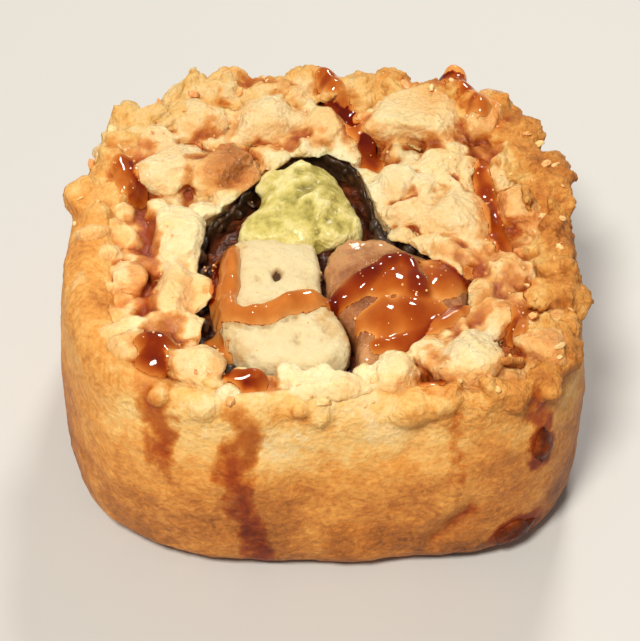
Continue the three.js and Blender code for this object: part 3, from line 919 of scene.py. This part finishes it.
def drop(degrees, z, wide, high, thick, taper):
    """A flat drop of sauce that hangs on the side and follows its curve, its outline uneven."""
    ball, faces = BALLS[4]
    uneven = 1 + 0.5 * rough(ball * [0.3, 1, 1], 0.9, 210, 3)
    out = ball[:, 0]
    across, rise = (ball[:, 1:] * uneven[:, None]).T
    middle = np.radians(degrees)
    distance = wall(middle, z)[0]
    angle = middle + 0.5 * wide * across * (1 - taper * rise) / distance
    height = z + 0.5 * high * rise
    reach = wall(angle, height) + thick * out
    return np.stack([*place_at(angle, reach), height], 1), faces


def closed_pair(upper, lower):
    """The closed skin between two grids of the same size."""
    rows, columns = upper.shape[:2]
    number = np.arange(rows * columns).reshape(rows, columns)
    a, b, c, d = number[:-1, :-1], number[1:, :-1], number[1:, 1:], number[:-1, 1:]
    top = [np.stack([a, b, c], -1).reshape(-1, 3), np.stack([a, c, d], -1).reshape(-1, 3)]
    bottom = [faces[:, ::-1] + rows * columns for faces in top]
    border = np.concatenate([number[:-1, 0], number[-1, :-1], number[:0:-1, -1], number[0, :0:-1]])
    after = np.roll(border, -1)
    under = rows * columns
    skirt = [np.stack([border, border + under, after], 1)]
    skirt += [np.stack([after, border + under, after + under], 1)]
    points = np.concatenate([upper.reshape(-1, 3), lower.reshape(-1, 3)])
    return points, np.concatenate(top + bottom + skirt)


BED_DEPTH = {"cheese": 0.32, "salmon": 1.5, "seaweed": 1.8}  # how dark sauce looks over them, against rice


def bed_of(skins):
    """What sauce and crumbs lie on, to find its height with rays."""
    points, faces = joined([(points, triangles_of(faces)) for points, faces in skins])
    return BVHTree.FromPolygons(points.tolist(), faces.tolist())


def triangles_of(faces):
    if faces.shape[1] == 3:
        return faces
    return np.concatenate([faces[:, [0, 1, 2]], faces[:, [0, 2, 3]]])


def sauce_skin(below):
    ribbons = [ribbon(*line, 200 + 7 * i, below) for i, line in enumerate(LINES.values())]
    points, faces = fused(ribbons, SAUCE_FINENESS)
    return relaxed(points, faces, 4), faces


def drop_skin():
    points, faces = fused([drop(*each) for each in DROPS], SAUCE_FINENESS)
    return relaxed(points, faces, 2), faces


def near_line(points, route):
    """How far points lie from a way over the slice, heights counting less."""
    nearest = np.full(len(points), 1e4)
    way = smooth_route(route)
    if len(route[0]) == 3:
        angle, _ = polar(way)
        way[:, :2] = np.stack(place_at(angle, wall(angle, way[:, 2])), 1)
    for place in way[::2]:
        nearest = np.minimum(nearest, (((points - place) * [1, 1, 0.45]) ** 2).sum(1))
    return np.sqrt(nearest)


POOL_LOW, POOL_HIGH = FACE - 5.2, FACE - 3.1  # levels of its underside and its surface


def pool_skin():
    """Sauce and scraps that have run down between the fillings and the seaweed; its material makes them very
    dark, standing also for the shade in the gap.
    """

    def level(share):
        def at(angle):
            distance = around(nori_table, angle) * share
            return distance, POOL_HIGH + 0.9 * rough(on_ring(angle, distance), 3.0, 35, 3)

        return at

    over = [level(share) for share in np.linspace(0.98, 0, 40)]
    under = [lambda angle: (0.0, POOL_LOW), lambda angle: (0.98 * around(nori_table, angle), POOL_LOW)]
    return turned(under + over, MIDDLE, 300, closed=False)


def stain_on(points):
    """How much sauce has soaked in, from 0 to 1, with ragged edges."""
    warped = points + 0.9 * np.stack([rough(points, 2.4, 70 + k, 2) for k in range(3)], 1)
    soaked = np.zeros(len(points))
    ways = [(route, width) for route, width, _, _ in LINES.values()] + FILMS
    for route, width in ways:
        share = smoothstep(0.5 * width + 1.1, 0.5 * width - 0.8, near_line(warped, route))
        soaked = np.maximum(soaked, share)
    for route, width, strength in SOAKED:
        share = smoothstep(0.5 * width + 0.9, 0.3 * width - 0.8, near_line(warped, route))
        soaked = np.maximum(soaked, strength * share)
    for degrees, z, wide, high, _, _ in DROPS:
        place = on_side(np.radians(degrees), 0, z)
        away = np.linalg.norm((warped - place) / [0.5 * wide, 0.5 * wide, 0.5 * high], axis=1)
        soaked = np.maximum(soaked, smoothstep(1.75, 1.05, away))
    return soaked


def thickness_on(points, below, skins):
    """How deep the sauce looks: its thickness, more over what is dark and less over cheese."""
    counts = np.cumsum([len(triangles_of(faces)) for _, faces in skins.values()])
    darkness = [BED_DEPTH.get(name, 1.0) for name in skins]
    looks = np.zeros(len(points))
    for i, (place, way) in enumerate(zip(points, off_slice(points))):
        _, _, number, reach = below.ray_cast(Vector(place), Vector(-way), RAY_LIFT)
        if reach:
            looks[i] = reach * darkness[int(np.searchsorted(counts, number, side="right"))]
    return looks


ABOVE_ALL = 60  # a level well over the whole slice


def landing(below, x, y):
    """Where something comes down on the slice at x, y, and the way up from there."""
    hit, normal, _, _ = below.ray_cast(Vector((x, y, ABOVE_ALL)), Vector((0, 0, -1)))
    return (np.array(hit), np.array(normal)) if hit else (None, None)


BEADS = 230
BEAD_SPREAD = 2.4  # how far they stray from the sauce's ways


def bead_skin(below):
    """Small drops, most of them beside the sauce; their pale colour paints glints."""
    random = np.random.default_rng(17)
    ball, faces = BALLS[2]
    routes = [smooth_route(line[0]) for line in [*LINES.values(), *FILMS] if len(line[0][0]) == 2]
    places = np.concatenate(routes)
    made = []
    for _ in range(BEADS):
        x, y, _ = places[random.integers(len(places))]
        x, y = np.array([x, y]) + random.normal(0, BEAD_SPREAD, 2)
        hit, normal = landing(below, x, y)
        size = 0.06 + 0.12 * random.random() ** 2
        if hit is not None and hit[2] > FACE - 2.5:
            squat = ball * size * random.uniform(0.8, 1.1, 3)
            made.append((squat + hit + 0.2 * size * normal, faces))
    return joined(made)


# ---------------------------------------------------------------- crumbs
CRUMBS = 90


def crumb_skin(below):
    """Loose crumbs of batter, most of them round the upper edge."""
    random = np.random.default_rng(91)
    made, tints = [], []
    ball, faces = BALLS[3]
    for i in range(CRUMBS):
        angle = np.array([random.uniform(0, TURN)])
        edge = wall(angle, FACE)[0]
        distance = edge - 0.6 - 5 * random.random() ** 1.6
        wanted = random.random() < tornness(angle[0]) + 0.15
        if not wanted or distance < around(nori_table, angle)[0] + 1:
            continue
        x, y = place_at(angle[0], distance)
        hit, normal = landing(below, x, y)
        size = 0.3 + 0.8 * random.random() ** 2.2
        uneven = 1 + 0.5 * ridged(ball, 1.3, 300 + i, 2)
        stretch = random.uniform([0.7, 0.9, 0.4], [1.1, 1.7, 0.8])
        points = ball * uneven[:, None] * stretch * size / 2
        points = points @ rotation(*random.uniform(-1, 1, 2), random.uniform(0, TURN)).T
        made.append((points + hit + 0.1 * size * normal, faces))
        tints.append(np.full(len(points), random.random()))
    points, faces = joined(made)
    return points, faces, np.concatenate(tints)


# ---------------------------------------------------------------- objects
def piece(name, skin, nodes, material, attributes=None):
    """A shown piece made from a skin, riding on the slice."""
    points, faces = skin
    mesh = bpy.data.meshes.new(name)
    mesh.from_pydata((points * MM).tolist(), [], faces.tolist())
    mesh.polygons.foreach_set("use_smooth", [True] * len(mesh.polygons))
    for key, values in (attributes or {}).items():
        mesh.attributes.new(key, "FLOAT", "POINT").data.foreach_set("value", values.astype(np.float32))
    mesh.materials.append(material)
    made = bpy.data.objects.new(name, mesh)
    bpy.context.scene.collection.objects.link(made)
    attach(made, "root")
    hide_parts(*nodes)


# ---------------------------------------------------------------- materials
def paint(red, green, blue):
    """A colour as it looks, 0 to 255, in the linear light that shaders work in."""
    parts = np.array([red, green, blue]) / 255
    linear = np.where(parts <= 0.04045, parts / 12.92, ((parts + 0.055) / 1.055) ** 2.4)
    return (*linear, 1.0)


class Shader:
    """A material's nodes, made one after another."""

    def __init__(self, name):
        self.material = bpy.data.materials.new(name)
        self.material.use_nodes = True
        self.tree = self.material.node_tree
        self.tree.nodes.clear()
        self.place = self.add("TexCoord").outputs["Object"]

    def add(self, kind, settings=None, **inputs):
        made = self.tree.nodes.new("ShaderNode" + kind)
        for key, value in (settings or {}).items():
            setattr(made, key, value)
        for key, value in inputs.items():
            self.set(made.inputs[key.replace("_", " ")], value)
        return made

    def set(self, socket, value):
        if isinstance(value, bpy.types.NodeSocket):
            self.tree.links.new(value, socket)
        else:
            socket.default_value = value

    def attribute(self, name):
        return self.add("Attribute", {"attribute_name": name}).outputs["Fac"]

    def noise(self, size, detail=3.0, roughness=0.55, distortion=0.0):
        return self.add("TexNoise", Vector=self.place, Scale=1 / (size * MM), Detail=detail,
                        Roughness=roughness, Distortion=distortion).outputs["Fac"]

    def cells(self, size):
        return self.add("TexVoronoi", Vector=self.place, Scale=1 / (size * MM)).outputs["Distance"]

    def math(self, operation, a, b=0.0, clamp=False):
        made = self.add("Math", {"operation": operation, "use_clamp": clamp})
        self.set(made.inputs[0], a)
        self.set(made.inputs[1], b)
        return made.outputs[0]

    def share(self, value, factor):
        """A product, kept from 0 to 1."""
        return self.math("MULTIPLY", value, factor, clamp=True)

    def total(self, *terms):
        """A sum of (value, weight) pairs and plain values."""
        sums = None
        for term in terms:
            scaled = self.math("MULTIPLY", *term) if isinstance(term, tuple) else term
            sums = scaled if sums is None else self.math("ADD", sums, scaled)
        return sums

    def ramp(self, value, stops):
        """Colours along a value. A stop is its place and its colour: 0 to 255 as it looks, or linear."""
        made = self.add("ValToRGB", Fac=value)
        elements = made.color_ramp.elements
        while len(elements) < len(stops):
            elements.new(0.5)
        for element, (at, *color) in zip(elements, stops):
            element.position = at
            element.color = paint(*color) if len(color) == 3 else color
        return made.outputs["Color"]

    def tinted(self, share, color, tint):
        """A colour times a tint, as far as share says."""
        made = self.add("MixRGB", {"blend_type": "MULTIPLY"})
        for key, value in zip(("Fac", "Color1", "Color2"), (share, color, tint)):
            self.set(made.inputs[key], value)
        return made.outputs["Color"]

    def bump(self, height, strength, depth):
        return self.add("Bump", Strength=strength, Distance=depth * MM, Height=height).outputs["Normal"]

    def finish(self, **inputs):
        surface = self.add("BsdfPrincipled", **inputs)
        self.add("OutputMaterial", Surface=surface.outputs["BSDF"])
        return self.material


ABSORBED = np.array([1.3, 2.9, 5.2])  # of red, green and blue light by sauce one unit deep
DEEPEST = 1.6
SAUCE_UNIT = 1.6  # millimetres of sauce that make one unit
SEEN_THROUGH = [(d, *np.exp(-d * ABSORBED), 1.0) for d in np.linspace(0, 1, 7)]
SEEN_THROUGH_DEEP = [(d / DEEPEST, *np.exp(-d * ABSORBED), 1.0) for d in np.linspace(0, DEEPEST, 9)]


def fried_material(name, stops, flush, mottle, matt, bumps, glow, coat):
    """Rice and batter alike: a colour by how brown it is fried, with painted shade in it, seen through the
    sauce that soaked in and darkened in hollows, partly as painted shade.
    """
    s = Shader(name)
    hollow, stain, relief, torn = (s.attribute(key) for key in ("hollow", "stain", "relief", "torn"))
    brown = s.total(s.attribute("browning_and_shade"), (s.noise(6), mottle), (s.noise(1.8, 4, 0.6, 1.5), 1.1 * mottle),
                    (s.noise(0.5, 3, 0.7), 0.8 * mottle), -1.45 * mottle)
    patches = s.ramp(s.noise(9, 2), [(0.45, 0, 0, 0), (0.65, 255, 255, 255)])
    base = s.tinted(patches, s.ramp(brown, stops), flush)
    ragged = s.share(s.total(stain, (s.noise(1.4, 5, 0.7), 1.5), (relief, 0.3), -0.9), 1.35)
    ragged = s.share(ragged, s.share(stain, 3.0))
    deep = s.total((relief, 0.35), (s.noise(0.9, 3), 0.4), (torn, -0.24), 0.56)
    # hollows are tinted as if sauce lay in them, also where none soaked in: partly sauce that ran in, partly
    # painted shade
    depth = s.total((ragged, deep), (hollow, 0.36))
    color = s.tinted(1.0, base, s.ramp(depth, SEEN_THROUGH))
    roughness = s.total((s.noise(0.9, 3), 0.4), (s.share(ragged, torn), -0.15), matt - 0.2)
    height = s.total((s.noise(1.0, 6, 0.75), 1.0), (s.noise(0.35, 3), 0.6), (s.cells(0.6), 0.5))
    bumped = s.bump(height, s.total((ragged, -0.4), (torn, 0.5), 0.4), bumps)
    wet = s.bump(s.total((s.noise(0.7, 3, 0.6), 1.0), (s.cells(0.5), 0.6)), 1.0, 1.1)
    return s.finish(Base_Color=color, Roughness=roughness, Normal=bumped, Subsurface_Weight=glow,
                    Subsurface_Radius=(1.0, 0.45, 0.2), Subsurface_Scale=1.4 * MM, Specular_IOR_Level=0.22,
                    Coat_Weight=coat, Coat_Roughness=0.14, Coat_Normal=wet)


# Colours of the batter coat and of the rice, from pale to browned, read at a value that also carries painted
# shade.
CRUST = [(0.0, 248, 216, 160), (0.25, 244, 196, 118), (0.5, 230, 158, 74), (0.72, 196, 120, 50),
         (1.0, 130, 72, 28)]
RICE = [(0.0, 255, 236, 190), (0.25, 255, 220, 158), (0.5, 248, 188, 112), (0.75, 212, 136, 66),
        (1.0, 146, 82, 34)]
UNDER_SAUCE = paint(250, 202, 136)  # food as it looks through thin sauce


def sauce_material():
    s = Shader("sweet_sauce")
    depth = s.math("DIVIDE", s.total(s.attribute("depth"), (s.noise(1.8), 0.3), -0.1), DEEPEST)
    color = s.tinted(1.0, UNDER_SAUCE, s.ramp(depth, SEEN_THROUGH_DEEP))
    return s.finish(Base_Color=color, Roughness=0.07, Normal=s.bump(s.noise(1.6, 2), 0.2, 0.3), IOR=1.42,
                    Subsurface_Weight=0.12, Subsurface_Radius=(1.0, 0.35, 0.12), Subsurface_Scale=0.8 * MM)


def drop_material():
    s = Shader("thick_drops")
    color = s.ramp(s.noise(1.6, 4, 0.6), [(0.35, 76, 27, 10), (0.5, 102, 41, 15), (0.65, 134, 62, 24)])
    return s.finish(Base_Color=color, Roughness=0.2, Normal=s.bump(s.noise(1.0, 3), 0.6, 0.4), IOR=1.14)


def pool_material():
    s = Shader("gap_sauce_and_painted_shade")
    # painted shade: dark sauce and scraps, coloured very dark to stand also for the shade down in the gap
    color = s.ramp(s.noise(1.8, 4, 0.6), [(0.3, 36, 17, 9), (0.5, 74, 34, 17), (0.7, 124, 60, 30)])
    return s.finish(Base_Color=color, Roughness=0.18, Normal=s.bump(s.noise(0.8, 4, 0.6), 0.7, 0.4), IOR=1.3)


def bead_material():
    s = Shader("drops_with_painted_glints")
    # painted glints: the drops are opaque and pale so that they read as highlights; their own gloss adds
    # real ones
    return s.finish(Base_Color=s.ramp(s.noise(3.0), [(0.35, 226, 146, 80), (0.65, 252, 212, 148)]),
                    Roughness=0.05, Coat_Weight=0.4, Coat_Roughness=0.03)


def nori_material():
    s = Shader("damp_seaweed")
    stops = [(0.3, 26, 16, 9), (0.5, 58, 36, 18), (0.62, 94, 62, 32), (0.8, 150, 98, 52)]
    color = s.ramp(s.noise(1.2, 5, 0.7), stops)
    return s.finish(Base_Color=color, Roughness=s.total((s.noise(0.8), 0.4), 0.2),
                    Normal=s.bump(s.noise(0.5, 5, 0.7), 0.8, 0.25), Coat_Weight=0.3, Coat_Roughness=0.2)


def avocado_material():
    s = Shader("avocado_flesh")
    # painted shade: the avocado turns darker olive in its hollows and folds
    value = s.total((s.noise(2.6, 4), 0.9), (s.noise(0.6, 4), 0.4), (s.attribute("hollow"), 0.6), -0.15)
    stops = [(0.2, 242, 226, 152), (0.42, 216, 198, 106), (0.62, 172, 156, 68), (0.9, 96, 84, 30)]
    color = s.ramp(value, stops)
    return s.finish(Base_Color=color, Roughness=s.total((s.noise(0.6), 0.3), 0.22),
                    Normal=s.bump(s.noise(0.8, 6, 0.65), 0.9, 0.7), Subsurface_Weight=0.2,
                    Subsurface_Radius=(1.0, 0.9, 0.3), Subsurface_Scale=1.0 * MM, Coat_Weight=0.2,
                    Coat_Roughness=0.2)


def cheese_material():
    s = Shader("cream_cheese_flesh")
    value = s.total((s.noise(4.0, 4), 0.7), (s.noise(0.6, 4), 0.4), (s.attribute("hollow"), 0.7), -0.05)
    # painted shade: the cheese darkens in its hollows, and the last stop paints the hole very dark
    stops = [(0.3, 248, 230, 184), (0.6, 244, 221, 168), (0.95, 170, 128, 82), (1.0, 92, 64, 34)]
    color = s.ramp(value, stops)
    stain = s.share(s.attribute("stain"), s.total((s.noise(1.0, 3), 1.0), -0.25))
    color = s.tinted(1.0, color, s.ramp(s.share(stain, 0.5), SEEN_THROUGH))
    return s.finish(Base_Color=color, Roughness=s.total((s.noise(0.8), 0.25), 0.35),
                    Normal=s.bump(s.noise(0.6, 6, 0.75), 0.9, 0.5), Subsurface_Weight=0.3,
                    Subsurface_Radius=(1.0, 0.8, 0.5), Subsurface_Scale=1.2 * MM)


def salmon_material():
    s = Shader("salmon_flesh")
    # painted shade: the salmon darkens in its hollows; the stain term darkens it where the glaze lies
    value = s.total((s.noise(2.5, 4), 0.7), (s.noise(0.6, 3), 0.35), (s.attribute("hollow"), 0.4),
                    (s.attribute("stain"), 0.25), -0.15)
    stops = [(0.25, 212, 152, 96), (0.5, 178, 112, 64), (0.75, 134, 74, 38), (1.0, 88, 42, 20)]
    color = s.ramp(value, stops)
    roughness = s.total((s.noise(0.8), 0.3), (s.attribute("stain"), -0.2), 0.22)
    return s.finish(Base_Color=color, Roughness=roughness, Normal=s.bump(s.noise(0.7, 6, 0.7), 0.9, 0.6),
                    Subsurface_Weight=0.2, Subsurface_Radius=(1.0, 0.4, 0.2), Subsurface_Scale=1.2 * MM,
                    Coat_Weight=0.4, Coat_Roughness=0.12)


def crumb_material():
    s = Shader("batter_crumbs")
    value = s.total((s.attribute("tint"), 0.5), (s.noise(0.5, 3), 0.5), -0.05)
    stops = [(0.0, 252, 220, 160), (0.4, 244, 190, 118), (0.7, 222, 150, 82), (1.0, 160, 92, 42)]
    color = s.ramp(value, stops)
    return s.finish(Base_Color=color, Roughness=0.45, Normal=s.bump(s.noise(0.3, 4), 0.6, 0.12),
                    Subsurface_Weight=0.15, Subsurface_Radius=(1.0, 0.45, 0.2), Subsurface_Scale=0.6 * MM,
                    Coat_Weight=0.15, Coat_Roughness=0.25)


# ---------------------------------------------------------------- making the slice
def inset_of(points):
    """How far each point lies inside the batter's side."""
    angle, distance = polar(points)
    return wall(angle, points[:, 2]) - distance


def browning_and_shade_of(points):
    """How brown the food is fried: most on the side and on the crags of the right and far rim. The side also
    carries painted light and shade: lighter towards the top, most on the near side, and darker towards the
    foot and on the right.
    """
    angle, _ = polar(points)
    inset = inset_of(points)
    upper = smoothstep(FACE - 5, FACE - 0.5, points[:, 2])
    # painted light: the side is paler towards its top, most on the near side, partly a paler band of its own
    # and partly the light that falls there
    pale = smoothstep(12, 21, points[:, 2] + 1.5 * noise(points, 6, 84)) * (0.14 + 0.33 * near_side(angle))
    right = smoothstep(-0.2, 0.9, np.cos(angle))
    # painted shade: the side is made browner towards the foot and on the right, where it turns away from the
    # light
    side = 0.6 - pale + 0.13 * rough(points, 8, 81, 3) + 0.15 * smoothstep(14, 0, points[:, 2])
    side += 0.1 * right + 0.12 * smoothstep(0.1, 0.6, noise(points, 5, 82)) * smoothstep(16, 6, points[:, 2])
    rim = 0.36 + 0.24 * right + 0.14 * smooth_side(angle) - 0.2 * near_side(angle)
    rim += 0.14 * rough(points, 3, 83, 2)
    rim -= 0.14 * window(angle, 122, 50)
    inner = 0.08 + 0.12 * rough(points, 4, 85, 2) + 0.06 * right + clump_tint(points)
    edge = 1.5 + 3.0 * smooth_side(angle) + 1.2 * right - 0.8 * near_side(angle)
    over = rim + (inner - rim) * smoothstep(edge, edge + 3.0, inset + 1.2 * noise(points, 3, 87))
    return side + (over - side) * upper


def hollows_of(points, faces):
    """How far points lie in hollows, wide and narrow ones together: -1 on crests to 1 in crevices."""
    wide, narrow = hollowness(points, faces, 2.4), hollowness(points, faces, 1.0)
    return np.clip(2.6 * wide + 1.2 * narrow - 0.12, -1, 1)


def looks_of(points, faces):
    """What the fried materials read. Steep sides are painted browner, standing for their shade, and sauce
    has run into hollows.
    """
    relief = hollows_of(points, faces)
    hollow = np.maximum(relief, 0)
    angle, _ = polar(points)
    z = points[:, 2]
    # painted shade: the steep sides of the clumps on the upper face are made browner than their lit tops
    steep = np.clip(0.75 - outward(points, faces)[:, 2], 0, 1) * smoothstep(FACE - 3, FACE - 1, z)
    run_in = smoothstep(0.05, 0.5, rough(points, 6, 95, 2)) * np.clip(1.2 * hollow, 0, 0.65)
    run_in = run_in * smoothstep(FACE - 4, FACE - 2, z)
    torn = smoothstep(FACE - 5, FACE - 1.5, z) * (1 - 0.5 * smooth_side(angle) - 0.5 * near_side(angle))
    return {"browning_and_shade": browning_and_shade_of(points) + 0.18 * steep, "hollow": hollow, "relief": relief,
            "stain": np.maximum(stain_on(points), run_in), "torn": torn}


def filling_looks(points, faces):
    return {"hollow": np.clip(2.2 * hollowness(points, faces, 1.4), -1, 1), "stain": stain_on(points)}


batter = batter_skin()
rice_upper = rice_upper_skin()
rice_lower = rice_lower_skin()
nori = nori_skin()
avocado = avocado_skin()
cheese = cheese_skin()
salmon = salmon_skin()
pool = pool_skin()

skins = {"batter": batter, "rice": rice_upper, "seaweed": nori, "avocado": avocado, "cheese": cheese,
         "salmon": salmon}
below = bed_of([*skins.values(), pool])
sauce = sauce_skin(below)
sauce_depth = 0.2 + thickness_on(sauce[0], below, {**skins, "pool": pool}) / SAUCE_UNIT
*crumbs, tints = crumb_skin(below)
beads = bead_skin(bed_of([*skins.values(), sauce]))

cheese_looks = filling_looks(*cheese)
# painted shade: the hole is read as a deep hollow, so that it is painted dark
cheese_looks["hollow"] = np.maximum(cheese_looks["hollow"], 1.5 * pit_share(cheese[0]))
fried = ("rice_with_batter",)
batter_look = fried_material("fried_batter", CRUST, paint(255, 250, 240), mottle=0.54, matt=0.55, bumps=0.6,
                             glow=0.1, coat=0.05)
rice_look = fried_material("sticky_rice", RICE, paint(255, 238, 222), mottle=0.3, matt=0.36, bumps=0.55,
                           glow=0.35, coat=0.75)

piece("batter", batter, fried, batter_look, looks_of(*batter))
piece("rice_upper", rice_upper, fried, rice_look, looks_of(*rice_upper))
piece("rice_lower", rice_lower, fried, rice_look, looks_of(*rice_lower))
piece("seaweed", nori, ("nori",), nori_material())
piece("avocado_stick", avocado, ("avocado",), avocado_material(), filling_looks(*avocado))
piece("cheese_stick", cheese, ("cream_cheese",), cheese_material(), cheese_looks)
piece("salmon_stick", salmon, ("salmon",), salmon_material(), filling_looks(*salmon))
piece("gap_bed", pool, ("nori",), pool_material())
piece("sauce_lines", sauce, fried, sauce_material(), {"depth": np.clip(sauce_depth, 0, DEEPEST)})
piece("sauce_drops", drop_skin(), fried, drop_material())
piece("sauce_beads", beads, fried, bead_material())
piece("crumbs", crumbs, fried, crumb_material(), {"tint": tints})


# ---------------------------------------------------------------- floor, light and camera
FLOOR_HALF = 1.5  # metres, like the places and widths of the lights
# Soft round lights: name, place, width, power in watts and colour.
LIGHTS = [
    ("key", (-0.14, -0.34, 0.61), 0.16, 5.2, (1.0, 0.96, 0.88)),
    ("back", (0.12, 0.50, 0.50), 0.14, 2.4, (1.0, 0.97, 0.92)),
]
LIGHTS_POINT_AT = Vector((0, 0, 0.012))
ALL_ROUND = 0.22  # strength of the light from all round


def floor():
    corners = [(x * FLOOR_HALF, y * FLOOR_HALF, 0) for x, y in ((-1, -1), (1, -1), (1, 1), (-1, 1))]
    mesh = bpy.data.meshes.new("floor")
    mesh.from_pydata(corners, [], [(0, 1, 2, 3)])
    made = bpy.data.objects.new("floor", mesh)
    bpy.context.scene.collection.objects.link(made)
    s = Shader("pale_floor")
    made.data.materials.append(s.finish(Base_Color=paint(200, 198, 194), Roughness=0.6))


def area_light(name, place, size, power, color):
    light = bpy.data.lights.new(name, "AREA")
    light.shape = "DISK"
    light.size = size
    light.energy = power
    light.color = color
    made = bpy.data.objects.new(name, light)
    made.location = place
    made.rotation_euler = (LIGHTS_POINT_AT - made.location).to_track_quat("-Z", "Y").to_euler()
    bpy.context.scene.collection.objects.link(made)


def lighting():
    for light in LIGHTS:
        area_light(*light)
    world = bpy.data.worlds.new("studio")
    bpy.context.scene.world = world
    world.use_nodes = True
    background = world.node_tree.nodes["Background"]
    background.inputs["Color"].default_value = (1.0, 0.98, 0.95, 1)
    background.inputs["Strength"].default_value = ALL_ROUND


CAMERA_HEIGHT_ANGLE = np.radians(45)  # above the level
CAMERA_DISTANCE = 270.0  # millimetres from what it looks at
LOOKS_AT = np.array([0, -0.83, 11.17])
LENS = 146.1  # millimetres, on a sensor 36 wide


def camera():
    made = bpy.data.objects.new("camera", bpy.data.cameras.new("camera"))
    back = np.array([0, -np.cos(CAMERA_HEIGHT_ANGLE), np.sin(CAMERA_HEIGHT_ANGLE)])
    made.location = (LOOKS_AT + CAMERA_DISTANCE * back) * MM
    made.rotation_euler = Vector(-back).to_track_quat("-Z", "Y").to_euler()
    made.data.lens = LENS
    made.data.clip_start = 0.01
    bpy.context.scene.collection.objects.link(made)
    bpy.context.scene.camera = made


floor()
lighting()
camera()
bpy.context.scene.view_settings.view_transform = "Standard"
